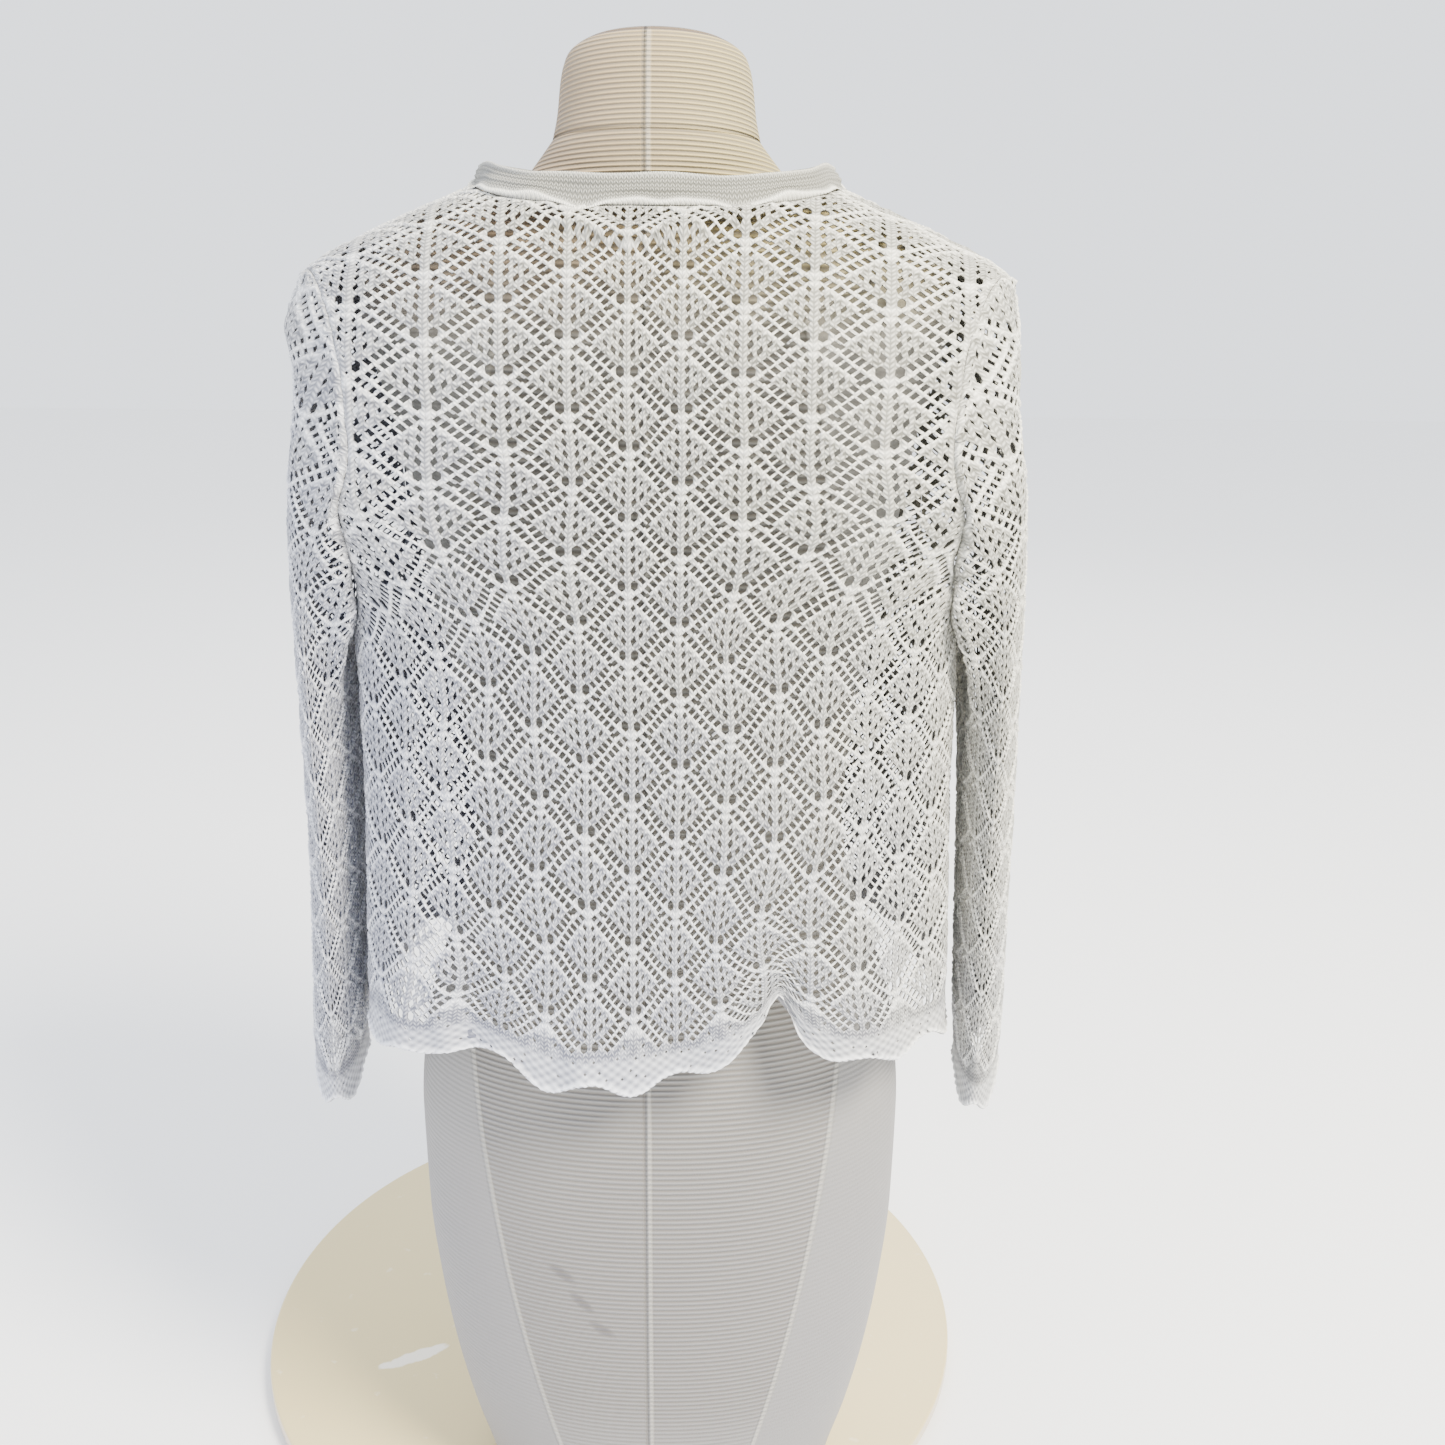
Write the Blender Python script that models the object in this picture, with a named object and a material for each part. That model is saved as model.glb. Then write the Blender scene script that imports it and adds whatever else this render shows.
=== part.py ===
"""Hand-knitted lace cardigan on a limbless dress form, which stands on a round base.

Metres, +Z up. The wearer would face +Y, so the back of the cardigan faces -Y.
Each knitted panel is laid out flat in wales (across) and courses (up from the hem),
as a knitter charts it, and then carried onto the draped surface of the garment.
"""
import math

import bpy
import bmesh
import numpy as np
from mathutils import Vector
from mathutils.geometry import delaunay_2d_cdt

# Base and dress form
BASE_RADIUS = 0.300
BASE_THICKNESS = 0.018
BASE_RIM_HEIGHT = 0.010
BASE_UNDERCUT = 0.022
BASE_EDGE_ROUND = 0.0025
BASE_SEGMENTS = 72
FORM_X = 0.050
FORM_Y = -0.155
FORM_COLUMNS = 32
FORM_ROW_STEP = 0.036
NECK_COLUMNS = 28
SEAM_GAP = 0.0003

# Cloth
WALL = 0.0020
BAND_WALL = 0.0024
BAND_HEIGHT = 0.0185
BAND_LIFT = 1.6
BAND_GAP = 0.00035
WALE_MM = 4.4
COURSE_MM = 3.0
SIDE_WALE = 63.0
TIP_WALE = 36.0
NECK_WALE = 21.0
UNDERARM_COURSE = 81.0
YOKE_COURSE = 116.0
YOKE_HEIGHT = 0.800
YOKE_STEP = 0.00292
YOKE_ROUND = 2.3
FRONT_NECK_COURSE = 146.0
HEM_SCALLOP = 1.6

# Lace repeat: a leaf spans 14 wales and 14 courses, half-dropped
LEAF = 14.0
FIRST_COLUMN = -2.9
FIRST_NODE = 0.0
EYELET_WIDTH = 0.0048
EYELET_HEIGHT = 0.0076
EYELET_WALE = 0.85
EYELET_DROP = 12.0
EYELET_MARGIN = 3.0

# Sleeves
SLEEVE_COLUMNS = 24
SLEEVE_ROWS = 15
CUFF_HEIGHT = 0.3735
CUFF_POINT = -0.010
SLEEVE_LEAD = 0.004
SLEEVE_STAND = 0.0030
SLEEVE_PUFF = 0.0040
PUFF_DROP = 0.020
SETTLE_SIDE = 0.045
SETTLE_CAP = 0.016

# height, half width, back, front, squareness of the dress form's level sections
FORM_SECTIONS = (
    ("z", "half", "back", "front", "square"),
    (0.000, 0.1270, 0.098, 0.094, 2.2),
    (0.040, 0.1350, 0.103, 0.098, 2.2),
    (0.085, 0.1480, 0.108, 0.102, 2.2),
    (0.140, 0.1600, 0.113, 0.105, 2.2),
    (0.200, 0.1685, 0.117, 0.108, 2.2),
    (0.260, 0.1735, 0.119, 0.110, 2.2),
    (0.340, 0.1745, 0.119, 0.110, 2.2),
    (0.420, 0.1660, 0.113, 0.106, 2.2),
    (0.500, 0.1400, 0.097, 0.095, 2.2),
    (0.565, 0.1270, 0.086, 0.088, 2.2),
    (0.640, 0.1330, 0.090, 0.102, 2.2),
    (0.720, 0.1480, 0.099, 0.127, 2.3),
    (0.780, 0.1570, 0.104, 0.117, 2.4),
    (0.840, 0.1680, 0.101, 0.095, 2.5),
    (0.880, 0.1800, 0.090, 0.078, 2.5),
    (0.905, 0.1850, 0.078, 0.065, 2.4),
    (0.928, 0.1825, 0.069, 0.055, 2.2),
    (0.940, 0.1760, 0.065, 0.052, 2.1),
    (0.948, 0.1665, 0.063, 0.050, 2.1),
    (0.957, 0.1490, 0.061, 0.049, 2.0),
    (0.966, 0.1285, 0.059, 0.048, 2.0),
    (0.975, 0.1010, 0.057, 0.049, 2.0),
    (0.984, 0.0770, 0.056, 0.050, 2.0),
)
# height of the middle, half width, half depth, lean (degrees), forward shift of the neck's rings
NECK_RINGS = (
    ("z", "half", "depth", "lean", "shift"),
    (1.0010, 0.0632, 0.0560, 7.0, -0.001),
    (1.0140, 0.0604, 0.0545, 8.0, 0.001),
    (1.0360, 0.0578, 0.0530, 10.5, 0.004),
    (1.0470, 0.0545, 0.0500, 12.5, 0.006),
    (1.0530, 0.0470, 0.0430, 14.0, 0.008),
    (1.0565, 0.0300, 0.0280, 15.0, 0.009),
)
# course, height, half width, back, front, squareness of the draped body's level sections
DRAPE = (
    ("course", "z", "half", "back", "front", "square"),
    (-4.0, 0.4240, 0.2040, 0.1440, 0.1400, 3.1),
    (0.0, 0.4360, 0.2035, 0.1430, 0.1395, 3.1),
    (14.0, 0.4780, 0.2015, 0.1390, 0.1375, 3.0),
    (28.0, 0.5220, 0.2000, 0.1345, 0.1360, 2.85),
    (42.0, 0.5680, 0.1990, 0.1310, 0.1350, 2.7),
    (56.0, 0.6148, 0.1980, 0.1280, 0.1345, 2.6),
    (70.0, 0.6603, 0.1980, 0.1260, 0.1345, 2.6),
    (84.0, 0.7045, 0.1985, 0.1240, 0.1345, 2.65),
    (98.0, 0.7473, 0.2080, 0.1225, 0.1330, 2.9),
    (116.0, 0.8000, 0.2260, 0.1200, 0.1240, 3.5),
)
# course, wale width at the middle, and how much each further wale adds
WALE_WIDTHS = (
    ("course", "middle", "gain"),
    (0.0, 0.00370, 0.0),
    (42.0, 0.00380, 0.0),
    (70.0, 0.00425, 0.0),
    (84.0, 0.00430, 0.000000),
    (100.0, 0.00426, 0.000024),
    (116.0, 0.00420, 0.000050),
    (190.0, 0.00460, 0.000043),
)
# shoulder line: distance from the middle and height
SHOULDER = (
    ("x", "z"),
    (0.000, 0.9900),
    (0.060, 0.9880),
    (0.100, 0.9800),
    (0.130, 0.9685),
    (0.170, 0.9515),
    (0.208, 0.9330),
    (0.222, 0.9235),
    (0.240, 0.9080),
)
# folds of the cloth: side, wale at the hem, drift upwards, half width, depth, courses it climbs
FOLDS = (
    ("side", "wale", "drift", "width", "depth", "climb"),
    ("back", -38.0, 0.00, 5.0, 0.0090, 62.0),
    ("back", -29.0, 0.02, 4.5, -0.0085, 50.0),
    ("back", -11.0, -0.03, 10.0, 0.0110, 58.0),
    ("back", 12.5, -0.04, 5.0, 0.0060, 40.0),
    ("back", 20.5, -0.03, 4.2, -0.0150, 44.0),
    ("back", 30.0, 0.02, 6.5, 0.0100, 60.0),
    ("back", 43.0, -0.10, 5.5, -0.0060, 90.0),
    ("front", 12.0, 0.05, 5.0, 0.0070, 56.0),
    ("front", 24.0, 0.05, 5.5, -0.0080, 66.0),
    ("front", 37.0, 0.00, 6.0, 0.0080, 60.0),
    ("front", 49.0, -0.03, 5.0, -0.0060, 50.0),
    ("front", -14.0, -0.04, 5.5, -0.0070, 50.0),
    ("front", -28.0, -0.05, 6.0, 0.0085, 64.0),
    ("front", -42.0, 0.02, 5.5, -0.0070, 58.0),
)
# how far the hem hangs below or above its level line, on the back and on the fronts
HEM_LINE = (
    ("wale", "back", "front"),
    (-63.0, -0.018, -0.018),
    (-52.0, -0.010, -0.012),
    (-44.0, 0.002, -0.004),
    (-37.0, 0.004, 0.002),
    (-30.0, 0.016, 0.000),
    (-24.0, 0.010, -0.006),
    (-16.0, -0.002, -0.002),
    (-6.0, -0.005, 0.000),
    (2.0, -0.002, 0.002),
    (12.0, 0.016, 0.000),
    (17.0, 0.032, -0.002),
    (20.5, 0.054, -0.006),
    (24.0, 0.026, 0.000),
    (32.0, 0.008, 0.004),
    (42.0, 0.002, -0.004),
    (52.0, -0.008, -0.012),
    (63.0, -0.018, -0.018),
)
HEM_LIFT_COURSES = 44.0
# armhole edge in wales and courses, from the underarm up; the shoulder tip closes it
ARMHOLE = (
    ("wale", "course"),
    (63.0, 81.0),
    (57.0, 82.2),
    (50.0, 86.0),
    (43.0, 92.5),
    (37.0, 101.0),
    (33.0, 112.0),
    (31.0, 126.0),
    (31.6, 142.0),
)
# back neckline from the shoulder to the middle
BACK_NECK = (
    ("wale", "z"),
    (19.0, 0.9725),
    (14.0, 0.9675),
    (7.0, 0.9655),
    (0.0, 0.9655),
)
# edge of the front opening in wales
FRONT_EDGE = (
    ("course", "wale"),
    (-4.0, 6.5),
    (40.0, 4.8),
    (90.0, 3.2),
    (200.0, 2.2),
)
# level sections of the hanging sleeves: height, outer side of each, inner side, half breadth,
# middle from back to front, and how far the back fold leans towards the body
SLEEVE_SECTIONS = (
    ("z", "outer_left", "outer_right", "inner", "breadth", "middle", "lean"),
    (0.340, 0.2510, 0.2450, 0.2170, 0.058, -0.004, 0.14),
    (0.380, 0.2525, 0.2485, 0.2150, 0.058, -0.004, 0.13),
    (0.450, 0.2480, 0.2480, 0.2115, 0.061, -0.004, 0.10),
    (0.550, 0.2410, 0.2450, 0.2085, 0.065, -0.003, 0.06),
    (0.650, 0.2375, 0.2415, 0.2060, 0.069, -0.002, 0.02),
    (0.740, 0.2345, 0.2385, 0.2055, 0.073, 0.000, 0.00),
    (0.800, 0.2300, 0.2340, 0.2040, 0.078, 0.000, 0.00),
    (0.860, 0.2240, 0.2260, 0.2000, 0.078, 0.000, 0.00),
    (0.900, 0.2330, 0.2270, 0.1960, 0.074, 0.000, 0.00),
    (0.930, 0.2300, 0.2240, 0.1900, 0.070, 0.000, 0.00),
)

COLOURS = {
    "lace": ((0.86, 0.86, 0.85), 0.85),
    "band": ((0.84, 0.84, 0.82), 0.85),
    "form": ((0.70, 0.69, 0.67), 0.80),
    "base": ((0.83, 0.77, 0.62), 0.35),
}


def column(table, name):
    """One named column of a table as an array of numbers."""
    place = table[0].index(name)
    return np.array([row[place] for row in table[1:]], dtype=float)


def smooth(table, key, value):
    """Smooth function through a table's rows that never overshoots them."""
    xs = column(table, key)
    ys = column(table, value)
    step = np.diff(xs)
    rise = np.diff(ys) / step
    slope = np.zeros_like(xs)
    slope[0] = rise[0]
    slope[-1] = rise[-1]
    for i in range(1, len(xs) - 1):
        if rise[i - 1] * rise[i] > 0.0:
            slope[i] = 2.0 * rise[i - 1] * rise[i] / (rise[i - 1] + rise[i])

    def read(at):
        at = np.clip(np.asarray(at, dtype=float), xs[0], xs[-1])
        k = np.clip(np.searchsorted(xs, at) - 1, 0, len(step) - 1)
        h = step[k]
        t = (at - xs[k]) / h
        near = ys[k] * (1 + 2 * t) * (1 - t) ** 2 + slope[k] * h * t * (1 - t) ** 2
        far = ys[k + 1] * t * t * (3 - 2 * t) - slope[k + 1] * h * t * t * (1 - t)
        return near + far

    return read


def oval(half, depth, square, count):
    """Quarter of an oval from the middle of its back to its side, evenly spaced points."""
    turn = np.linspace(0.0, math.pi / 2, 400)
    x = half * np.sin(turn) ** (2.0 / square)
    y = depth * np.cos(turn) ** (2.0 / square)
    length = np.concatenate(([0.0], np.cumsum(np.hypot(np.diff(x), np.diff(y)))))
    even = np.linspace(0.0, length[-1], count)
    return np.interp(even, length, x), np.interp(even, length, y), length[-1]


def between_rows(grid, row, place):
    """Bilinear value of grid[row, place], run on in a straight line past the ends."""
    i = np.clip(row, 0, grid.shape[0] - 2).astype(int)
    j = np.clip(place, 0, grid.shape[1] - 2).astype(int)
    u = row - i
    v = place - j
    low = grid[i, j] * (1 - v) + grid[i, j + 1] * v
    high = grid[i + 1, j] * (1 - v) + grid[i + 1, j + 1] * v
    return low * (1 - u) + high * u


class Drape:
    """The garment's outer surface for its back (-1) or its front (+1)."""

    ROW = 2.0
    POINTS = 65
    FIRST = -4.0

    def __init__(self, side):
        self.side = side
        self.name = "back" if side < 0 else "front"
        self.middle = smooth(WALE_WIDTHS, "course", "middle")
        self.gain = smooth(WALE_WIDTHS, "course", "gain")
        self.height = smooth(DRAPE, "course", "z")
        self.hem = smooth(HEM_LINE, "wale", self.name)
        self.tabulate_body()
        self.tabulate_yoke()

    def tabulate_body(self):
        half = smooth(DRAPE, "course", "half")
        depth = smooth(DRAPE, "course", self.name)
        square = smooth(DRAPE, "course", "square")
        rows = np.arange(self.FIRST, YOKE_COURSE + 0.5 * self.ROW, self.ROW)
        curves = [oval(half(c), depth(c), square(c), self.POINTS) for c in rows]
        self.body_x = np.array([c[0] for c in curves])
        self.body_y = np.array([c[1] for c in curves])
        self.quarter = np.array([c[2] for c in curves])
        self.rows = rows

    def arc(self, wale, course):
        """Distance around the section from the middle to a wale."""
        quarter = np.interp(course, self.rows, self.quarter)
        middle = self.middle(course)
        fitted = (quarter / SIDE_WALE - middle) / SIDE_WALE
        share = np.clip((course - UNDERARM_COURSE) / (100.0 - UNDERARM_COURSE), 0.0, 1.0)
        gain = fitted * (1.0 - share) + self.gain(course) * share
        return wale * (middle + gain * wale)

    def tabulate_yoke(self):
        """Lines of stitches that climb from the yoke's foot to the shoulder line."""
        shoulder = smooth(SHOULDER, "x", "z")
        wales = np.arange(0.0, 45.0)
        foot = self.arc(wales, np.full_like(wales, YOKE_COURSE))
        place = foot / self.quarter[-1] * (self.POINTS - 1)
        foot_x = np.interp(place, np.arange(self.POINTS), self.body_x[-1])
        foot_y = np.interp(place, np.arange(self.POINTS), self.body_y[-1])
        top_x = wales * (self.middle(190.0) + self.gain(190.0) * wales)
        turn = np.linspace(0.0, math.pi / 2, 200)
        back = np.cos(turn) ** (2.0 / YOKE_ROUND)
        up = np.sin(turn) ** (2.0 / YOKE_ROUND)
        xs, ys, zs, lengths = [], [], [], []
        for i in range(len(wales)):
            x = foot_x[i] + (top_x[i] - foot_x[i]) * (1.0 - back)
            y = foot_y[i] * back
            z = YOKE_HEIGHT + (shoulder(top_x[i]) - YOKE_HEIGHT) * up
            step = np.sqrt(np.diff(x) ** 2 + np.diff(y) ** 2 + np.diff(z) ** 2)
            length = np.concatenate(([0.0], np.cumsum(step)))
            even = np.linspace(0.0, length[-1], self.POINTS)
            xs.append(np.interp(even, length, x))
            ys.append(np.interp(even, length, y))
            zs.append(np.interp(even, length, z))
            lengths.append(length[-1])
        self.yoke = np.array(xs), np.array(ys), np.array(zs)
        self.climb = np.array(lengths)
        self.yoke_wales = wales

    def shoulder_course(self, wale):
        """Course at which a wale meets the shoulder seam."""
        return YOKE_COURSE + np.interp(np.abs(wale), self.yoke_wales, self.climb) / YOKE_STEP

    def course_at(self, wale, height):
        """Course of a wale in the yoke at a given height."""
        track = between_rows(self.yoke[2], np.full(self.POINTS, abs(wale)), np.arange(self.POINTS))
        share = np.interp(height, track, np.linspace(0.0, 1.0, self.POINTS))
        return YOKE_COURSE + share * (self.shoulder_course(wale) - YOKE_COURSE)

    def plain(self, wale, course):
        """Surface without folds."""
        wide = np.abs(wale)
        low = np.minimum(course, YOKE_COURSE)
        row = (low - self.FIRST) / self.ROW
        quarter = np.interp(low, self.rows, self.quarter)
        place = self.arc(wide, low) / quarter * (self.POINTS - 1)
        x = between_rows(self.body_x, row, place)
        y = between_rows(self.body_y, row, place)
        z = self.height(low)
        share = (course - YOKE_COURSE) * YOKE_STEP
        share = share / np.interp(wide, self.yoke_wales, self.climb) * (self.POINTS - 1)
        high = [between_rows(grid, wide, share) for grid in self.yoke]
        upper = course > YOKE_COURSE
        x = np.where(upper, high[0], x) * np.sign(wale)
        y = np.where(upper, high[1], y) * self.side
        z = np.where(upper, high[2], z)
        return np.stack([x, y, z], axis=-1)

    def fold(self, wale, course):
        """How far the folds push the cloth outwards."""
        total = np.zeros_like(wale)
        names = FOLDS[0]
        for row in FOLDS[1:]:
            fold = dict(zip(names, row))
            if fold["side"] != self.name:
                continue
            off = (wale - fold["wale"] - fold["drift"] * course) / fold["width"]
            fade = np.clip(1.0 - course / fold["climb"], 0.0, 1.0)
            total += fold["depth"] * np.exp(-off * off) * fade ** 1.4
        return total * (1.0 - np.clip(np.abs(wale) / SIDE_WALE, 0.0, 1.0) ** 8)

    def slope(self, function, wale, course):
        """Outward direction of a surface function."""
        d = 0.4
        across = function(wale + d, course) - function(wale - d, course)
        along = function(wale, course + d) - function(wale, course - d)
        normal = np.cross(across, along) * -self.side
        return normal / np.linalg.norm(normal, axis=-1, keepdims=True)

    def outer(self, wale, course):
        """Outer surface with its folds and its hanging hem."""
        wale = np.asarray(wale, dtype=float)
        course = np.asarray(course, dtype=float)
        at = self.plain(wale, course)
        out = self.slope(self.plain, np.where(np.abs(wale) < 0.5, 0.5, wale), course)
        at = at + out * self.fold(wale, course)[..., None]
        lift = np.clip(1.0 - course / HEM_LIFT_COURSES, 0.0, 1.3) ** 2
        at[..., 2] += self.hem(wale) * lift
        return at

    def pair(self, wale, course):
        """Outer and inner points of the wall."""
        wale = np.asarray(wale, dtype=float)
        course = np.asarray(course, dtype=float)
        at = self.outer(wale, course)
        lining = at - self.slope(self.outer, wale, course) * WALL
        for face in (at, lining):
            face[..., 1] = self.side * np.maximum(self.side * face[..., 1], SEAM_GAP / 2)
        return at, lining


BACK = Drape(-1)
FRONT = Drape(1)


def along(points, step):
    """Smooth line through a few points, sampled about every step."""
    points = np.array(points, dtype=float)
    chord = np.concatenate(([0.0], np.cumsum(np.linalg.norm(np.diff(points, axis=0), axis=1))))
    table = [("s", "a", "b")] + [(s, p[0], p[1]) for s, p in zip(chord, points)]
    count = max(2, int(round(chord[-1] / step)) + 1)
    even = np.linspace(0.0, chord[-1], count)
    return np.stack([smooth(table, "s", "a")(even), smooth(table, "s", "b")(even)], axis=1)


def hem_edge(first, last):
    """Scalloped hem between two wales, one point every quarter leaf."""
    count = int(round(abs(last - first) / (LEAF / 4))) + 1
    wales = np.linspace(first, last, count)
    dip = np.cos((wales - FIRST_COLUMN) * 2.0 * math.pi / LEAF)
    return np.stack([wales, -HEM_SCALLOP * dip], axis=1)


def armhole_edge(drape):
    """Armhole from the underarm to the shoulder tip, in even steps on the cloth."""
    gap = SEAM_GAP * 0.5 / YOKE_STEP
    tip = (TIP_WALE, drape.shoulder_course(TIP_WALE) - gap)
    fine = along(list(ARMHOLE[1:]) + [tip], 1.0)
    at = drape.outer(fine[:, 0], fine[:, 1])
    length = np.concatenate(([0.0], np.cumsum(np.linalg.norm(np.diff(at, axis=0), axis=1))))
    even = np.linspace(0.0, length[-1], SLEEVE_COLUMNS // 2 + 1)
    return np.stack([np.interp(even, length, fine[:, k]) for k in (0, 1)], axis=1)


def shoulder_edge(drape):
    """Shoulder seam from the tip to the neck."""
    gap = SEAM_GAP * 0.5 / YOKE_STEP
    wales = np.linspace(TIP_WALE, NECK_WALE, 6)
    return np.stack([wales, drape.shoulder_course(wales) - gap], axis=1)


def back_neck_edge():
    """Right half of the back neckline, from the shoulder to the middle."""
    gap = SEAM_GAP * 0.5 / YOKE_STEP
    start = (NECK_WALE, float(BACK.shoulder_course(NECK_WALE)) - gap)
    points = [start]
    for wale, height in BACK_NECK[1:]:
        points.append((wale, float(BACK.course_at(wale, height))))
    return along(points, 4.0)


def front_neck_edge():
    """Front neckline of one side, from the shoulder to the opening."""
    gap = SEAM_GAP * 0.5 / YOKE_STEP
    start = (NECK_WALE, float(FRONT.shoulder_course(NECK_WALE)) - gap)
    edge = float(smooth(FRONT_EDGE, "course", "wale")(FRONT_NECK_COURSE))
    points = [start, (20.4, 178.0), (18.2, 165.0), (13.8, 155.0), (8.0, 148.5)]
    points.append((edge, FRONT_NECK_COURSE))
    return along(points, 4.0)


def side_edge(first, last):
    """Side seam, a hair short of the side wale."""
    gap = SEAM_GAP * 0.5 / (WALE_MM * 0.001)
    courses = np.linspace(first, last, int(round(abs(last - first) / 7.0)) + 1)
    return np.stack([np.full_like(courses, SIDE_WALE - gap), courses], axis=1)


def back_outline():
    """Outline of the back, going round from the left end of the hem."""
    hem = hem_edge(-SIDE_WALE, SIDE_WALE)
    side = side_edge(hem[-1][1], ARMHOLE[1][1])
    hem[0, 0] = -side[0, 0]
    hem[-1, 0] = side[0, 0]
    right = np.concatenate([side[1:], armhole_edge(BACK)[1:], shoulder_edge(BACK)[1:],
                            back_neck_edge()[1:]])
    left = right[-2::-1] * np.array([-1.0, 1.0])
    return np.concatenate([hem, right, left])


def front_outline():
    """Outline of the right front, going round from the opening's foot."""
    edge = smooth(FRONT_EDGE, "course", "wale")
    hem = hem_edge(LEAF / 2, SIDE_WALE)
    hem[0, 0] = float(edge(hem[0][1]))
    side = side_edge(hem[-1][1], ARMHOLE[1][1])
    hem[-1, 0] = side[0, 0]
    courses = np.linspace(FRONT_NECK_COURSE, hem[0][1], 20)[1:-1]
    opening = np.stack([edge(courses), courses], axis=1)
    return np.concatenate([hem, side[1:], armhole_edge(FRONT)[1:], shoulder_edge(FRONT)[1:],
                           front_neck_edge()[1:], opening])


def inside(points, outline):
    """Which points lie inside a closed outline."""
    points = np.asarray(points)
    result = np.zeros(len(points), dtype=bool)
    previous = outline[-1]
    for here in outline:
        crosses = (here[1] > points[:, 1]) != (previous[1] > points[:, 1])
        rise = previous[1] - here[1]
        if rise != 0.0:
            at = (previous[0] - here[0]) * (points[:, 1] - here[1]) / rise + here[0]
            result ^= crosses & (points[:, 0] < at)
        previous = here
    return result


def clearance(points, outline):
    """Distance of each point from an outline, in wales and courses."""
    points = np.asarray(points)
    best = np.full(len(points), 1e9)
    for a, b in zip(outline, np.roll(outline, -1, axis=0)):
        run = b - a
        share = np.clip(((points - a) @ run) / max(run @ run, 1e-9), 0.0, 1.0)
        best = np.minimum(best, np.linalg.norm(points - a - share[:, None] * run, axis=1))
    return best


def leaf_nodes():
    """Top nodes of all the leaves of the repeat, in wales and courses."""
    nodes = []
    for i in range(-10, 10):
        for k in range(0, 16):
            drop = (LEAF / 2) * (i % 2)
            nodes.append((FIRST_COLUMN + i * LEAF / 2, FIRST_NODE + LEAF + k * LEAF + drop))
    return np.array(nodes)


def eyelets(drape, outline):
    """Diamond outlines of the largest eyelet of each leaf that lies well inside a panel."""
    middles = leaf_nodes() + np.array([-EYELET_WALE, -EYELET_DROP])
    keep = inside(middles, outline) & (clearance(middles, outline) > EYELET_MARGIN)
    diamonds = []
    for wale, course in middles[keep]:
        left = drape.plain(np.array([wale - 0.5]), np.array([course]))
        right = drape.plain(np.array([wale + 0.5]), np.array([course]))
        under = drape.plain(np.array([wale]), np.array([course - 0.5]))
        over = drape.plain(np.array([wale]), np.array([course + 0.5]))
        half = 0.5 * EYELET_WIDTH / float(np.linalg.norm(right - left))
        tall = 0.5 * EYELET_HEIGHT / float(np.linalg.norm(over - under))
        diamonds.append(np.array([(wale - half, course), (wale, course - tall),
                                  (wale + half, course), (wale, course + tall)]))
    return diamonds


def grid_points(outline, holes):
    """Points between the edges, closer together towards the hem."""
    points = []
    course = 3.5
    row = 0
    while course < 200.0:
        step = LEAF / 4 if course < 26.0 else LEAF / 2
        shift = (row % 2) * step / 2
        points += [(w + shift, course) for w in np.arange(-66.5, 66.6, step)]
        course += LEAF / 4 if course < 10.0 else LEAF / 2
        row += 1
    points = np.array(points)
    keep = inside(points, outline) & (clearance(points, outline) > 1.6)
    points = points[keep]
    for hole in holes:
        middle = hole.mean(axis=0)
        points = points[np.linalg.norm(points - middle, axis=1) > 2.3]
    return points


def new_object(name, vertices, faces, look):
    mesh = bpy.data.meshes.new(name)
    mesh.from_pydata([tuple(v) for v in vertices], [], faces)
    mesh.validate()
    work = bmesh.new()
    work.from_mesh(mesh)
    bmesh.ops.recalc_face_normals(work, faces=work.faces)
    work.to_mesh(mesh)
    work.free()
    mesh.shade_smooth()
    mesh.set_sharp_from_angle(angle=math.radians(50))
    mesh.materials.append(material(look))
    thing = bpy.data.objects.new(name, mesh)
    bpy.context.scene.collection.objects.link(thing)
    return thing


def material(look):
    existing = bpy.data.materials.get(look)
    if existing:
        return existing
    colour, rough = COLOURS[look]
    made = bpy.data.materials.new(look)
    made.use_nodes = True
    shader = made.node_tree.nodes["Principled BSDF"]
    shader.inputs["Base Color"].default_value = (*colour, 1.0)
    shader.inputs["Roughness"].default_value = rough
    shader.inputs["Metallic"].default_value = 0.0
    return made


def knitted_panel(name, drape, outline):
    """A wall over an outline in wales and courses, with its largest eyelets cut through."""
    holes = eyelets(drape, outline)
    fill = grid_points(outline, holes)
    scale = np.array([WALE_MM, COURSE_MM])
    loops = [outline] + holes
    flat = np.concatenate(loops + [fill])
    edges = []
    start = 0
    for loop in loops:
        count = len(loop)
        edges += [(start + i, start + (i + 1) % count) for i in range(count)]
        start += count
    coordinates = [Vector(p) for p in (flat * scale).tolist()]
    result = delaunay_2d_cdt(coordinates, edges, [], 0, 1e-5)
    places = np.array([tuple(v) for v in result[0]]) / scale
    triangles = np.array([tuple(f) for f in result[2]])
    middles = places[triangles].mean(axis=1)
    keep = inside(middles, outline)
    for hole in holes:
        near = np.linalg.norm(middles - hole.mean(axis=0), axis=1) < 3.0
        keep[near] &= ~inside(middles[near], hole)
    triangles = triangles[keep]
    outer, inner = drape.pair(places[:, 0], places[:, 1])
    shift = np.array([FORM_X, FORM_Y, 0.0])
    vertices = np.concatenate([outer, inner]) + shift
    count = len(places)
    faces = [tuple(t) for t in triangles] + [tuple(t[::-1] + count) for t in triangles]
    uses = {}
    for t in triangles:
        for a, b in ((t[0], t[1]), (t[1], t[2]), (t[2], t[0])):
            uses[(int(a), int(b))] = uses.get((int(a), int(b)), 0) + 1
    for a, b in uses:
        if (b, a) not in uses:
            faces.append((b, a, a + count, b + count))
    return new_object(name, vertices, [tuple(int(i) for i in f) for f in faces], "lace")


def left_front_outline():
    """The left front lies on the negative wales, where it has folds of its own."""
    return front_outline()[::-1] * np.array([-1.0, 1.0])


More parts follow.
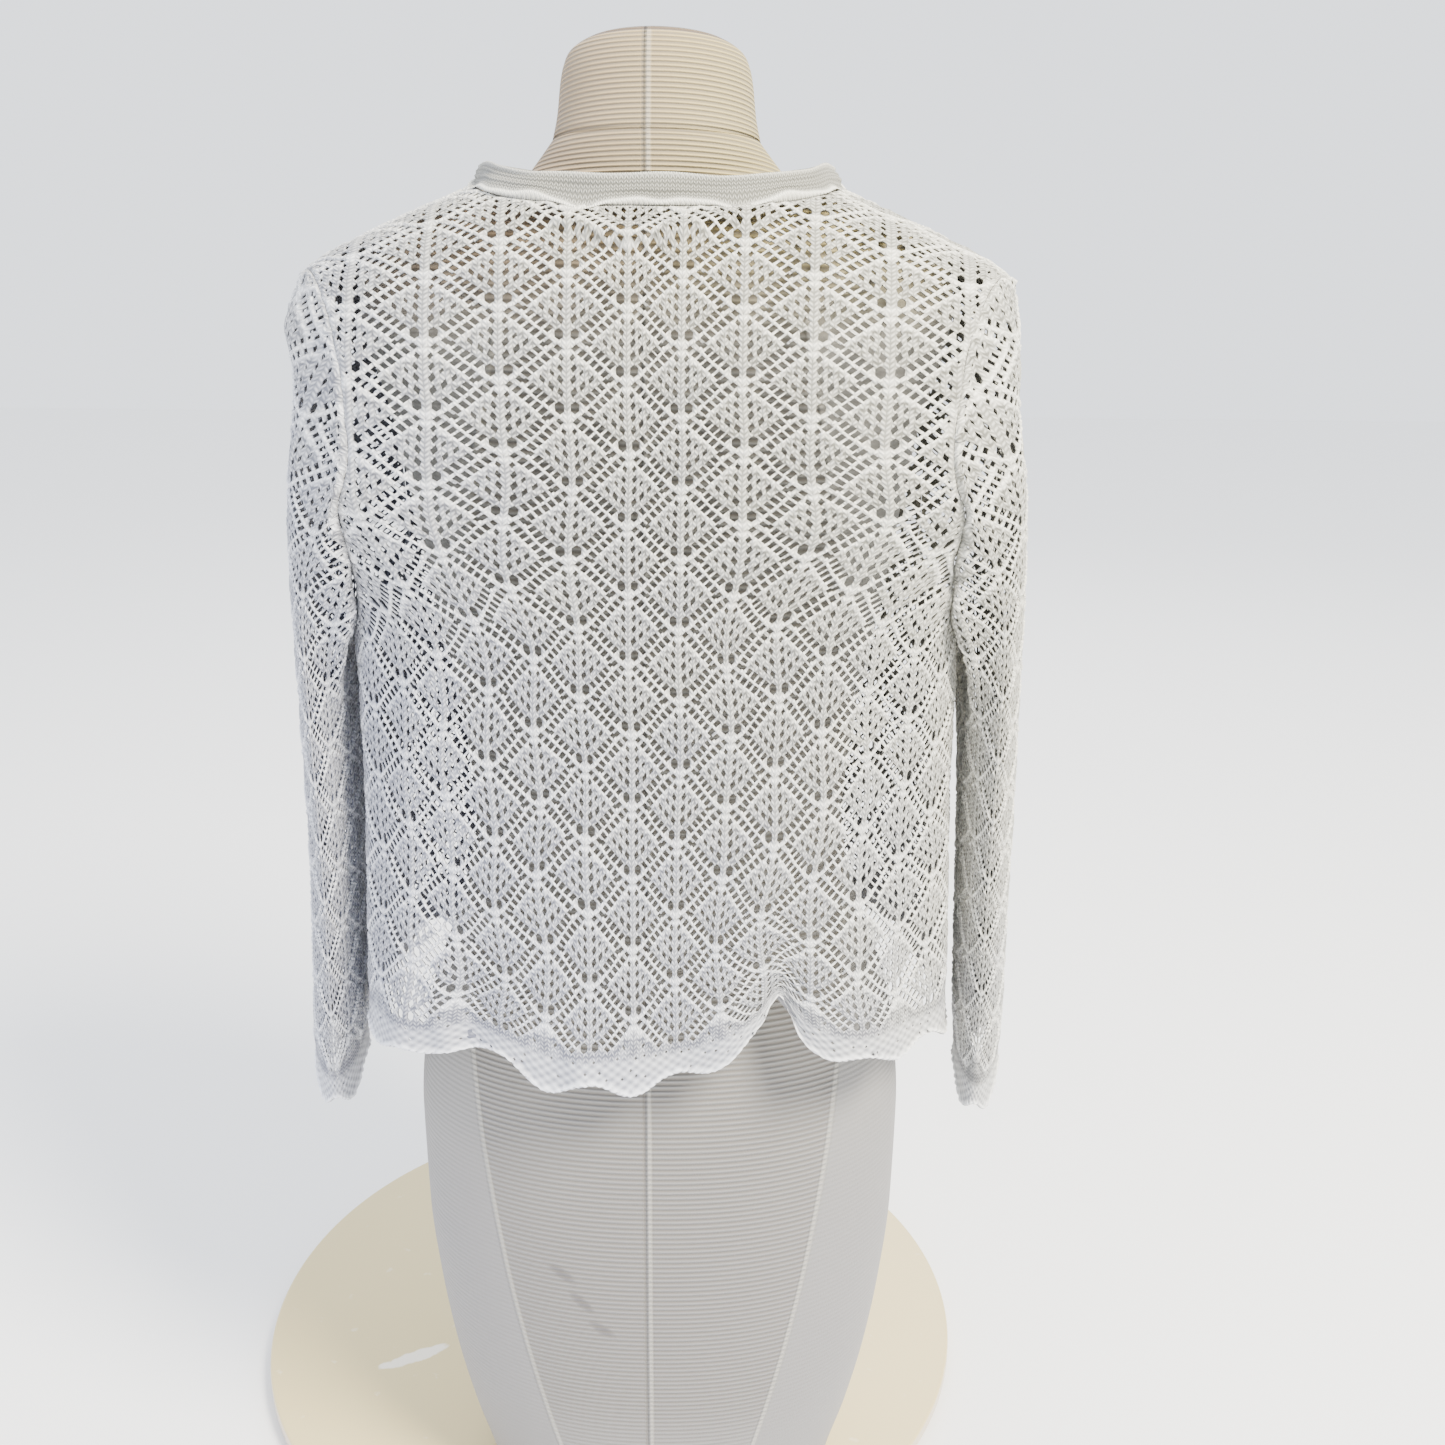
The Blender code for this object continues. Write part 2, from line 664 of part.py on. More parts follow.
def ring_solid(name, rings, look):
    """Closed solid from a stack of rings, capped at both ends."""
    rings = np.asarray(rings)
    count = rings.shape[1]
    vertices = list(rings.reshape(-1, 3))
    faces = []
    for r in range(len(rings) - 1):
        for i in range(count):
            j = (i + 1) % count
            faces.append((r * count + i, r * count + j, (r + 1) * count + j, (r + 1) * count + i))
    low = len(vertices)
    vertices.append(rings[0].mean(axis=0))
    vertices.append(rings[-1].mean(axis=0))
    last = (len(rings) - 1) * count
    for i in range(count):
        j = (i + 1) % count
        faces.append((low, j, i))
        faces.append((low + 1, last + i, last + j))
    return new_object(name, vertices, faces, look)


def form_ring(z):
    """Level section of the dress form."""
    half = float(smooth(FORM_SECTIONS, "z", "half")(z))
    back = float(smooth(FORM_SECTIONS, "z", "back")(z))
    front = float(smooth(FORM_SECTIONS, "z", "front")(z))
    square = float(smooth(FORM_SECTIONS, "z", "square")(z))
    turn = np.arange(FORM_COLUMNS) * 2.0 * math.pi / FORM_COLUMNS
    x = half * np.sign(np.sin(turn)) * np.abs(np.sin(turn)) ** (2.0 / square)
    c = np.cos(turn)
    y = np.where(c > 0, front, back) * np.sign(c) * np.abs(c) ** (2.0 / square)
    return np.stack([FORM_X + x, FORM_Y + y, np.full_like(x, z)], axis=1)


def neck_ring(z, columns):
    """Leaning ring of the neck whose middle is at a given height."""
    half = float(smooth(NECK_RINGS, "z", "half")(z))
    depth = float(smooth(NECK_RINGS, "z", "depth")(z))
    lean = math.radians(float(smooth(NECK_RINGS, "z", "lean")(z)))
    shift = float(smooth(NECK_RINGS, "z", "shift")(z))
    turn = np.arange(columns) * 2.0 * math.pi / columns
    x = half * np.sin(turn)
    y = depth * np.cos(turn)
    return np.stack([FORM_X + x, FORM_Y + shift + y * math.cos(lean), z - y * math.sin(lean)], axis=1)


def build_torso():
    heights = list(np.arange(BASE_THICKNESS + SEAM_GAP, 0.86, FORM_ROW_STEP))
    heights += list(column(FORM_SECTIONS, "z")[-9:])
    rings = [form_ring(z) for z in heights]
    rings.append(neck_ring(NECK_RINGS[1][0], FORM_COLUMNS) - np.array([0.0, 0.0, SEAM_GAP]))
    return ring_solid("form_torso", rings, "form")


def build_neck():
    heights = (1.0010, 1.0140, 1.0250, 1.0360, 1.0430, 1.0490, 1.0530, 1.0555)
    return ring_solid("form_neck", [neck_ring(z, NECK_COLUMNS) for z in heights], "form")


def build_base():
    """Round base with a softened top edge and an undercut below its rim."""
    inset = BASE_EDGE_ROUND * 0.3
    profile = (
        (BASE_RADIUS - BASE_UNDERCUT, 0.0),
        (BASE_RADIUS, BASE_THICKNESS - BASE_RIM_HEIGHT),
        (BASE_RADIUS, BASE_THICKNESS - BASE_EDGE_ROUND),
        (BASE_RADIUS - inset, BASE_THICKNESS - inset),
        (BASE_RADIUS - BASE_EDGE_ROUND, BASE_THICKNESS),
    )
    turn = np.arange(BASE_SEGMENTS) * 2.0 * math.pi / BASE_SEGMENTS
    rings = [np.stack([r * np.cos(turn), r * np.sin(turn), np.full_like(turn, z)], axis=1)
             for r, z in profile]
    return ring_solid("base_disc", rings, "base")


def tube_wall(name, outer, inner, look, closed):
    """Wall between an outer and an inner grid of points, rows by columns."""
    rows, columns = outer.shape[:2]
    count = rows * columns
    vertices = np.concatenate([outer.reshape(-1, 3), inner.reshape(-1, 3)])
    faces = []
    last = columns if closed else columns - 1

    def at(r, i):
        return r * columns + i % columns

    for r in range(rows - 1):
        for i in range(last):
            quad = (at(r, i), at(r, i + 1), at(r + 1, i + 1), at(r + 1, i))
            faces.append(quad)
            faces.append(tuple(count + q for q in quad[::-1]))
    for i in range(last):
        a, b = at(0, i), at(0, i + 1)
        faces.append((b, a, count + a, count + b))
        a, b = at(rows - 1, i), at(rows - 1, i + 1)
        faces.append((a, b, count + b, count + a))
    if not closed:
        for r in range(rows - 1):
            a, b = at(r, 0), at(r + 1, 0)
            faces.append((a, b, count + b, count + a))
            a, b = at(r, columns - 1), at(r + 1, columns - 1)
            faces.append((b, a, count + a, count + b))
    return new_object(name, vertices, faces, look)


def armhole_ring():
    """Seam points from the shoulder tip down the back, under the arm and up the front.

    Each comes with the cloth's outward direction and the direction away from its panel.
    """
    rings = []
    for drape in (BACK, FRONT):
        edge = armhole_edge(drape)[::-1]
        at, lining = drape.pair(edge[:, 0], edge[:, 1])
        out = (at - lining) / WALL
        beyond = drape.outer(edge[:, 0] + 0.4, edge[:, 1]) - drape.outer(edge[:, 0] - 0.4, edge[:, 1])
        run = np.gradient(at, axis=0)
        run /= np.linalg.norm(run, axis=1, keepdims=True)
        away = np.cross(run, out)
        away *= np.sign((away * beyond).sum(axis=1, keepdims=True))
        away /= np.linalg.norm(away, axis=1, keepdims=True)
        rings.append((at, out, away))
    return [np.concatenate([back, front[-2:0:-1]]) for back, front in zip(*rings)]


def sleeve_section(hand, z, turn):
    """Points of the limp sleeve's level section, turn 0 outside and a quarter at the back."""
    outer = smooth(SLEEVE_SECTIONS, "z", "outer_" + hand)(z)
    near = smooth(SLEEVE_SECTIONS, "z", "inner")(z)
    breadth = smooth(SLEEVE_SECTIONS, "z", "breadth")(z)
    middle = smooth(SLEEVE_SECTIONS, "z", "middle")(z)
    lean = smooth(SLEEVE_SECTIONS, "z", "lean")(z)
    y = middle - breadth * np.sin(turn)
    x = 0.5 * (outer + near) + 0.5 * (outer - near) * np.cos(turn) + lean * y
    return np.stack([x, y, z], axis=-1)


def build_sleeve(hand):
    """Limp sleeve: its columns leave the armhole and settle into a flat hanging tube.

    At the shoulder the wall goes on from the panel's edge. Under the arm it has turned
    half round the edge and hangs down outside the panel.
    """
    at, out, away = armhole_ring()
    turn = np.arange(SLEEVE_COLUMNS) * 2.0 * math.pi / SLEEVE_COLUMNS
    down = 0.5 - 0.5 * np.cos(turn)
    share = np.clip((down - 0.25) / 0.75, 0.0, 1.0)
    bend = (math.pi * share * share * (3.0 - 2.0 * share))[:, None]
    seam = at + SEAM_GAP * (away * np.cos(bend / 2) + out * np.sin(bend / 2))
    lead = seam + SLEEVE_LEAD * (away * np.cos(bend) + out * np.sin(bend))
    lead += SLEEVE_STAND * out * share[:, None]
    reach = SETTLE_SIDE + (SETTLE_CAP - SETTLE_SIDE) * np.clip(np.cos(turn), 0.0, 1.0) ** 2
    cuff = CUFF_HEIGHT + CUFF_POINT * (0.5 - 0.5 * np.cos(2.0 * turn))
    rows = [seam]
    for t in np.linspace(0.0, 1.0, SLEEVE_ROWS - 1) ** 1.25:
        z = lead[:, 2] * (1.0 - t) + cuff * t
        drop = lead[:, 2] - z
        settle = (1.0 - np.exp(-(drop / reach) ** 1.5))[:, None]
        puff = SLEEVE_PUFF * drop / PUFF_DROP * np.exp(1.0 - drop / PUFF_DROP) * share
        row = lead * (1.0 - settle) + sleeve_section(hand, z, turn) * settle + out * puff[:, None]
        row[:, 2] = z
        rows.append(row)
    outer = np.array(rows)
    across = np.roll(outer, -1, axis=1) - np.roll(outer, 1, axis=1)
    normal = np.cross(np.gradient(outer, axis=0), across)
    normal /= np.linalg.norm(normal, axis=2, keepdims=True)
    if ((outer - outer.mean(axis=1, keepdims=True))[-1] * normal[-1]).sum() < 0.0:
        normal = -normal
    inner = outer - normal * WALL
    inner[0] = seam + WALL * (away * np.sin(bend) - out * np.cos(bend))
    place = np.array([FORM_X, FORM_Y, 0.0])
    flip = np.array([-1.0 if hand == "left" else 1.0, 1.0, 1.0])
    return tube_wall("sleeve_" + hand, outer * flip + place, inner * flip + place, "lace", True)


def build_neck_band():
    """Plain band that stands on the neckline, from one front edge round to the other."""
    half_back = back_neck_edge()[::-1]
    half_front = front_neck_edge()
    right = []
    for drape, edge in ((BACK, half_back), (FRONT, half_front)):
        out = drape.slope(drape.outer, np.maximum(edge[:, 0], 0.5), edge[:, 1])
        at = drape.outer(edge[:, 0], edge[:, 1])
        right.append((at, out))
    points = np.concatenate([right[0][0], right[1][0][1:]])
    outward = np.concatenate([right[0][1], right[1][1][1:]])
    points = np.concatenate([points[:0:-1] * np.array([-1.0, 1.0, 1.0]), points])
    outward = np.concatenate([outward[:0:-1] * np.array([-1.0, 1.0, 1.0]), outward])
    run = np.gradient(points, axis=0)
    run /= np.linalg.norm(run, axis=1, keepdims=True)
    up = np.cross(outward, run)
    up /= np.linalg.norm(up, axis=1, keepdims=True)
    lift = np.array([0.0, 0.0, 1.0])
    rise = up + lift * np.clip(outward[:, 2:3], 0.0, 1.0) * BAND_LIFT
    rise /= np.linalg.norm(rise, axis=1, keepdims=True)
    face = np.cross(run, rise)
    face *= np.sign((face * outward).sum(axis=1, keepdims=True))
    low = points + up * BAND_GAP
    rows = np.linspace(0.0, 1.0, 4)
    outer = np.array([low + rise * BAND_HEIGHT * t for t in rows])
    inner = outer - face * BAND_WALL
    inner[0] = low - outward * BAND_WALL
    place = np.array([FORM_X, FORM_Y, 0.0])
    return tube_wall("neck_band", outer + place, inner + place, "band", False)


def main():
    for thing in list(bpy.data.objects):
        bpy.data.objects.remove(thing, do_unlink=True)
    build_base()
    build_torso()
    build_neck()
    knitted_panel("back", BACK, back_outline())
    knitted_panel("front_right", FRONT, front_outline())
    knitted_panel("front_left", FRONT, left_front_outline())
    build_sleeve("right")
    build_sleeve("left")
    build_neck_band()


main()
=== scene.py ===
"""Looks of the lace cardigan on its dress form: fine lace, ribbed form, painted base."""
import math

import bmesh
import bpy
import numpy as np
from mathutils import Matrix, Vector
from mathutils.geometry import delaunay_2d_cdt


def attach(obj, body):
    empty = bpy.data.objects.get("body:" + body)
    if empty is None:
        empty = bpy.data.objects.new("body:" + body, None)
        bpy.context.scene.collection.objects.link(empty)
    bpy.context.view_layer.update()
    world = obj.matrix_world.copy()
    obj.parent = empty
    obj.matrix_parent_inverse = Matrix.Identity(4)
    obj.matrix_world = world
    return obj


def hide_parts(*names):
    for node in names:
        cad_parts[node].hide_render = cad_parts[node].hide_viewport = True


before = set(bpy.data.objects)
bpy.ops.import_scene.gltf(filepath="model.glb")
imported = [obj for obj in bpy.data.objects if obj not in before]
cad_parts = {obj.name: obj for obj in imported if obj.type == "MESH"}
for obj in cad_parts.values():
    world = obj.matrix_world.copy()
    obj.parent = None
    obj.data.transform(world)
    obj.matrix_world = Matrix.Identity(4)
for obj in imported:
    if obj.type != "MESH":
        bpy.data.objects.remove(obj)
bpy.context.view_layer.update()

# dress form and base
FORM_X = 0.050
FORM_Y = -0.155
BASE_RADIUS = 0.300
BASE_THICKNESS = 0.018
BASE_EDGE_ROUND = 0.0025
SEAM_GAP = 0.0003
FLOOR_REACH = 6.0
FORM_AT = np.array([FORM_X, FORM_Y, 0.0])

# cloth
SHEET = 0.0013
SKIN = 0.0004
BAND_HEIGHT = 0.0185
BAND_LIFT = 1.6
BAND_RIDGES = 4.0
BAND_BACK = 0.0021
BAND_STITCH = 0.0030
# bulges of the neck band: stand, and middle and width as shares of its height
BAND_ROLL = (0.0026, 0.10, 0.085)
BAND_LIP = (0.0009, 0.95, 0.06)
BAND_FOOT = (0.0012, 0.0, 0.05)
# waves of the neck band: height, radians per metre along it, and phase; the swell's also
# have radians over the band's height
BAND_WAVES = ((0.0024, 72.0, 0.6), (0.0015, 131.0, 1.0), (0.0004, 290.0, 0.0))
BAND_LIP_WAVES = ((0.0011, 39.0, 0.4), (0.0006, 101.0, 2.0))
BAND_SWELL = ((0.0007, 47.0, 5.0, 0.0), (0.0006, 83.0, -7.0, 1.3))
# yarn that stands out of the lace: stand, middle and width in wales or courses
CORD_RELIEF = (0.00120, 0.0, 0.27)
RIB_RELIEF = (0.00040, 0.0, 0.26)
LEAF_SWELL = (0.0011, 0.0, 3.1)
HEM_ROLL = (0.0016, 0.45, 0.42)
MOSS_STAND = 0.00060
MOSS_TOP = 6.0
# hand-knit unevenness: height in stitches, radians per wale and per course, and phase
STRAY_ASIDE = ((0.60, 0.05, 0.105, 1.1), (0.40, -0.13, 0.21, 0.0))
STRAY_UP = ((0.75, 0.135, 0.04, 0.6), (0.45, 0.29, -0.07, 2.0))
# eyelets: room to the edge of their middles and corners, spread of their size and place
EYELET_MARGIN = 0.45
CORNER_MARGIN = 0.12
EYELET_SPREAD = 0.07
EYELET_STRAY = 0.04
# small eyelets strewn in the border, and those that fill up beside the seams
BORDER_ROWS = (2.4, 4.4, 6.6)
BORDER_STEP = 1.9
BORDER_SHARE = 0.42
BORDER_EYELET = (0.50, 0.80)
SEAM_ROWS = (0.62, 1.35)
SEAM_EYELET = (0.52, 0.85)
# eyelets grow with the size of their stitch up to these, in metres
WIDEST_WALE = 0.0062
TALLEST_COURSE = 0.0042
# room between a sheet's outline and the extra points that carry its relief
POINT_MARGIN = 0.3
WALE_MM = 4.4
COURSE_MM = 3.0
SIDE_WALE = 63.0
TIP_WALE = 36.0
NECK_WALE = 21.0
UNDERARM_COURSE = 81.0
YOKE_COURSE = 116.0
YOKE_HEIGHT = 0.800
YOKE_STEP = 0.00292
YOKE_ROUND = 2.3
COURSE_GAP = SEAM_GAP * 0.5 / YOKE_STEP
FRONT_NECK_COURSE = 146.0
HEM_SCALLOP = 1.6
HEM_LIFT_COURSES = 44.0
LEAF = 14.0
FIRST_COLUMN = -2.9

# sleeves
SLEEVE_WALES = 70.0
SLEEVE_STEP = 0.00305
CUFF_HEIGHT = 0.3735
CUFF_POINT = -0.010
SLEEVE_LEAD = 0.004
SLEEVE_STAND = 0.0030
SLEEVE_PUFF = 0.0040
PUFF_DROP = 0.020
SETTLE_SIDE = 0.045
SETTLE_CAP = 0.016
ARMHOLE_POINTS = 72
SLEEVE_PHASE = {"right": (-13.5, 23.0), "left": (-7.7, 23.0)}

FORM_SECTIONS = (
    ("z", "half", "back", "front", "square"),
    (0.000, 0.1270, 0.098, 0.094, 2.2),
    (0.040, 0.1350, 0.103, 0.098, 2.2),
    (0.085, 0.1480, 0.108, 0.102, 2.2),
    (0.140, 0.1600, 0.113, 0.105, 2.2),
    (0.200, 0.1685, 0.117, 0.108, 2.2),
    (0.260, 0.1735, 0.119, 0.110, 2.2),
    (0.340, 0.1745, 0.119, 0.110, 2.2),
    (0.420, 0.1660, 0.113, 0.106, 2.2),
    (0.500, 0.1400, 0.097, 0.095, 2.2),
    (0.565, 0.1270, 0.086, 0.088, 2.2),
    (0.640, 0.1330, 0.090, 0.102, 2.2),
    (0.720, 0.1480, 0.099, 0.127, 2.3),
    (0.780, 0.1570, 0.104, 0.117, 2.4),
    (0.840, 0.1680, 0.101, 0.095, 2.5),
    (0.880, 0.1800, 0.090, 0.078, 2.5),
    (0.905, 0.1850, 0.078, 0.065, 2.4),
    (0.928, 0.1825, 0.069, 0.055, 2.2),
    (0.940, 0.1760, 0.065, 0.052, 2.1),
    (0.948, 0.1665, 0.063, 0.050, 2.1),
    (0.957, 0.1490, 0.061, 0.049, 2.0),
    (0.966, 0.1285, 0.059, 0.048, 2.0),
    (0.975, 0.1010, 0.057, 0.049, 2.0),
    (0.984, 0.0770, 0.056, 0.050, 2.0),
)
NECK_RIM_ROWS = 5
NECK_RINGS = (
    ("z", "half", "depth", "lean", "shift"),
    (1.0010, 0.0632, 0.0560, 7.0, -0.001),
    (1.0140, 0.0604, 0.0545, 8.0, 0.001),
    (1.0360, 0.0578, 0.0530, 10.5, 0.004),
    (1.0470, 0.0545, 0.0500, 12.5, 0.006),
    (1.0530, 0.0470, 0.0430, 14.0, 0.008),
    (1.0565, 0.0300, 0.0280, 15.0, 0.009),
)
DRAPE = (
    ("course", "z", "half", "back", "front", "square"),
    (-4.0, 0.4240, 0.2040, 0.1440, 0.1400, 3.1),
    (0.0, 0.4360, 0.2035, 0.1430, 0.1395, 3.1),
    (14.0, 0.4780, 0.2015, 0.1390, 0.1375, 3.0),
    (28.0, 0.5220, 0.2000, 0.1345, 0.1360, 2.85),
    (42.0, 0.5680, 0.1990, 0.1310, 0.1350, 2.7),
    (56.0, 0.6148, 0.1980, 0.1280, 0.1345, 2.6),
    (70.0, 0.6603, 0.1980, 0.1260, 0.1345, 2.6),
    (84.0, 0.7045, 0.1985, 0.1240, 0.1345, 2.65),
    (98.0, 0.7473, 0.2080, 0.1225, 0.1330, 2.9),
    (116.0, 0.8000, 0.2260, 0.1200, 0.1240, 3.5),
)
WALE_WIDTHS = (
    ("course", "middle", "gain"),
    (0.0, 0.00370, 0.0),
    (42.0, 0.00380, 0.0),
    (70.0, 0.00425, 0.0),
    (84.0, 0.00430, 0.000000),
    (100.0, 0.00426, 0.000024),
    (116.0, 0.00420, 0.000050),
    (190.0, 0.00460, 0.000043),
)
SHOULDER = (
    ("x", "z"),
    (0.000, 0.9900),
    (0.060, 0.9880),
    (0.100, 0.9800),
    (0.130, 0.9685),
    (0.170, 0.9515),
    (0.208, 0.9330),
    (0.222, 0.9235),
    (0.240, 0.9080),
)
FOLDS = (
    ("side", "wale", "drift", "width", "depth", "climb"),
    ("back", -38.0, 0.00, 5.0, 0.0090, 62.0),
    ("back", -29.0, 0.02, 4.5, -0.0085, 50.0),
    ("back", -11.0, -0.03, 10.0, 0.0110, 58.0),
    ("back", 12.5, -0.04, 5.0, 0.0060, 40.0),
    ("back", 20.5, -0.03, 4.2, -0.0150, 44.0),
    ("back", 30.0, 0.02, 6.5, 0.0100, 60.0),
    ("back", 43.0, -0.10, 5.5, -0.0060, 90.0),
    ("front", 12.0, 0.05, 5.0, 0.0070, 56.0),
    ("front", 24.0, 0.05, 5.5, -0.0080, 66.0),
    ("front", 37.0, 0.00, 6.0, 0.0080, 60.0),
    ("front", 49.0, -0.03, 5.0, -0.0060, 50.0),
    ("front", -14.0, -0.04, 5.5, -0.0070, 50.0),
    ("front", -28.0, -0.05, 6.0, 0.0085, 64.0),
    ("front", -42.0, 0.02, 5.5, -0.0070, 58.0),
)
# soft creases the solids leave out: side, ends in wales and courses, half width, depth
CREASES = (
    ("side", "wale", "course", "to_wale", "to_course", "width", "depth"),
    ("back", 37.0, 112.0, 33.0, 52.0, 2.6, -0.0022),
    ("back", 42.0, 104.0, 40.0, 66.0, 2.2, 0.0016),
    ("back", -37.0, 104.0, -41.0, 60.0, 2.6, -0.0018),
    ("back", -15.0, 96.0, -22.0, 62.0, 3.6, -0.0013),
    ("back", 18.0, 72.0, 24.0, 38.0, 3.0, -0.0016),
    ("back", 3.0, 60.0, 1.0, 22.0, 2.8, 0.0012),
    ("back", -48.0, 78.0, -50.0, 20.0, 2.4, 0.0020),
    ("back", 52.0, 74.0, 51.0, 14.0, 2.2, 0.0018),
    ("back", -32.5, 26.0, -31.0, -12.0, 2.0, 0.0070),
    ("back", -12.0, 16.0, -10.0, -10.0, 2.2, 0.0034),
    ("back", 20.0, 24.0, 17.0, -10.0, 2.2, 0.0034),
    ("front", 44.0, 106.0, 36.0, 64.0, 2.8, -0.0020),
    ("front", 52.0, 76.0, 50.0, 26.0, 2.4, 0.0018),
    ("front", 18.0, 90.0, 15.0, 44.0, 3.2, -0.0013),
    ("front", -40.0, 104.0, -36.0, 70.0, 2.8, -0.0018),
    ("front", -51.0, 72.0, -49.0, 18.0, 2.6, 0.0019),
    ("front", -22.0, 84.0, -18.0, 50.0, 3.0, 0.0012),
)
# V-shaped fold under the neck: middle wale, reach to each side in wales, drop of its point
# below the neckline and climb to its ends in courses, depth in metres, width in courses above
# and below its crest, and the hollow under it as depth, middle and width
NECK_FOLD_WALE = -3.0
NECK_FOLD_REACH = (10.5, 15.2)
NECK_FOLD_DROP = 9.0
NECK_FOLD_CLIMB = 6.5
NECK_FOLD_DEPTH = 0.0078
NECK_FOLD_WIDTHS = (3.6, 1.25)
NECK_FOLD_HOLLOW = (-0.0016, -3.4, 1.6)
HEM_LINE = (
    ("wale", "back", "front"),
    (-63.0, -0.018, -0.018),
    (-52.0, -0.010, -0.012),
    (-44.0, 0.002, -0.004),
    (-37.0, 0.004, 0.002),
    (-30.0, 0.016, 0.000),
    (-24.0, 0.010, -0.006),
    (-16.0, -0.002, -0.002),
    (-6.0, -0.005, 0.000),
    (2.0, -0.002, 0.002),
    (12.0, 0.016, 0.000),
    (17.0, 0.032, -0.002),
    (20.5, 0.054, -0.006),
    (24.0, 0.026, 0.000),
    (32.0, 0.008, 0.004),
    (42.0, 0.002, -0.004),
    (52.0, -0.008, -0.012),
    (63.0, -0.018, -0.018),
)
ARMHOLE = (
    ("wale", "course"),
    (63.0, 81.0),
    (57.0, 82.2),
    (50.0, 86.0),
    (43.0, 92.5),
    (37.0, 101.0),
    (33.0, 112.0),
    (31.0, 126.0),
    (31.6, 142.0),
)
BACK_NECK = (
    ("wale", "z"),
    (19.0, 0.9725),
    (14.0, 0.9675),
    (7.0, 0.9655),
    (0.0, 0.9655),
)
FRONT_EDGE = (
    ("course", "wale"),
    (-4.0, 6.5),
    (40.0, 4.8),
    (90.0, 3.2),
    (200.0, 2.2),
)
SLEEVE_SECTIONS = (
    ("z", "outer_left", "outer_right", "inner", "breadth", "middle", "lean"),
    (0.340, 0.2510, 0.2450, 0.2170, 0.058, -0.004, 0.14),
    (0.380, 0.2525, 0.2485, 0.2150, 0.058, -0.004, 0.13),
    (0.450, 0.2480, 0.2480, 0.2115, 0.061, -0.004, 0.10),
    (0.550, 0.2410, 0.2450, 0.2085, 0.065, -0.003, 0.06),
    (0.650, 0.2375, 0.2415, 0.2060, 0.069, -0.002, 0.02),
    (0.740, 0.2345, 0.2385, 0.2055, 0.073, 0.000, 0.00),
    (0.800, 0.2300, 0.2340, 0.2040, 0.078, 0.000, 0.00),
    (0.860, 0.2240, 0.2260, 0.2000, 0.078, 0.000, 0.00),
    (0.900, 0.2330, 0.2270, 0.1960, 0.074, 0.000, 0.00),
    (0.930, 0.2300, 0.2240, 0.1900, 0.070, 0.000, 0.00),
)
# creases of the hanging sleeves: hand, turn (degrees from the outer side) at the elbow,
# twist over the length, half width in degrees, depth, height of the middle and half length
SLEEVE_CREASES = (
    ("hand", "turn", "twist", "width", "depth", "z", "reach"),
    ("right", 62.0, 10.0, 13.0, -0.0026, 0.640, 0.200),
    ("right", 104.0, -8.0, 10.0, 0.0020, 0.520, 0.130),
    ("right", -50.0, 12.0, 15.0, -0.0022, 0.600, 0.170),
    ("right", 12.0, 16.0, 14.0, -0.0016, 0.470, 0.090),
    ("left", 70.0, -12.0, 14.0, -0.0024, 0.560, 0.190),
    ("left", 112.0, 8.0, 10.0, 0.0018, 0.640, 0.120),
    ("left", -58.0, 10.0, 14.0, -0.0024, 0.620, 0.160),
    ("left", 4.0, -14.0, 15.0, -0.0014, 0.500, 0.100),
)
# eyelets of one leaf, right half: wales from its middle, courses below its top; width and
# height are in wales and courses for slits and ovals, and in millimetres along and across
# the open line for its cells, called rungs above the leaf's widest point and cells below it
LEAF_EYELETS = (
    ("wale", "drop", "width", "height", "slant", "shape"),
    (0.62, 2.00, 0.72, 1.60, 0.08, "slit"),
    (0.72, 4.05, 0.74, 1.90, 0.12, "slit"),
    (0.72, 6.20, 0.78, 2.10, 0.14, "slit"),
    (0.72, 8.60, 0.84, 2.20, 0.14, "slit"),
    (0.86, 11.50, 1.14, 2.50, 0.04, "oval"),
    (1.92, 10.45, 2.95, 4.60, 0.00, "cell"),
    (2.62, 9.48, 2.95, 4.80, 0.00, "cell"),
    (3.26, 8.52, 2.95, 4.70, 0.00, "cell"),
    (3.86, 7.55, 2.80, 4.30, 0.00, "cell"),
    (4.42, 6.52, 2.60, 3.00, 0.00, "cell"),
    (1.74, 7.40, 0.74, 2.20, 0.20, "slit"),
    (2.70, 6.10, 0.66, 1.85, 0.22, "slit"),
    (1.62, 4.90, 0.54, 1.50, 0.18, "slit"),
    (0.94, 0.12, 2.60, 3.50, 0.00, "rung"),
    (1.64, 1.16, 2.95, 4.30, 0.00, "rung"),
    (2.30, 2.14, 3.00, 4.40, 0.00, "rung"),
    (2.94, 3.14, 3.00, 4.40, 0.00, "rung"),
    (3.60, 4.14, 3.00, 4.40, 0.00, "rung"),
    (4.28, 5.14, 3.00, 4.40, 0.00, "rung"),
    (4.98, 6.12, 2.80, 3.80, 0.00, "rung"),
)
# bright line of knit-togethers round the right half of a leaf, from its top
LEAF_CORD = (
    ("wale", "drop"),
    (0.0, 0.75),
    (1.3, 2.10),
    (2.6, 3.90),
    (3.9, 5.75),
    (4.75, 6.85),
    (4.45, 8.10),
    (3.75, 9.10),
    (3.05, 10.15),
    (2.40, 11.20),
    (1.75, 12.25),
    (0.90, 13.10),
    (0.0, 13.60),
)
# the border's upper edge in courses; a leaf whose top lies no higher than PART_LEAF_TOP keeps
# only the eyelets up to PART_LEAF_DROP below its top and from PART_LEAF_WALE off its middle
BORDER_TOP = 8.6
PART_LEAF_TOP = 19.0
PART_LEAF_DROP = 6.09
PART_LEAF_WALE = 0.75
# front neckline between the shoulder and the opening, in wales and courses
FRONT_NECK = ((20.4, 178.0), (18.2, 165.0), (13.8, 155.0), (8.0, 148.5))
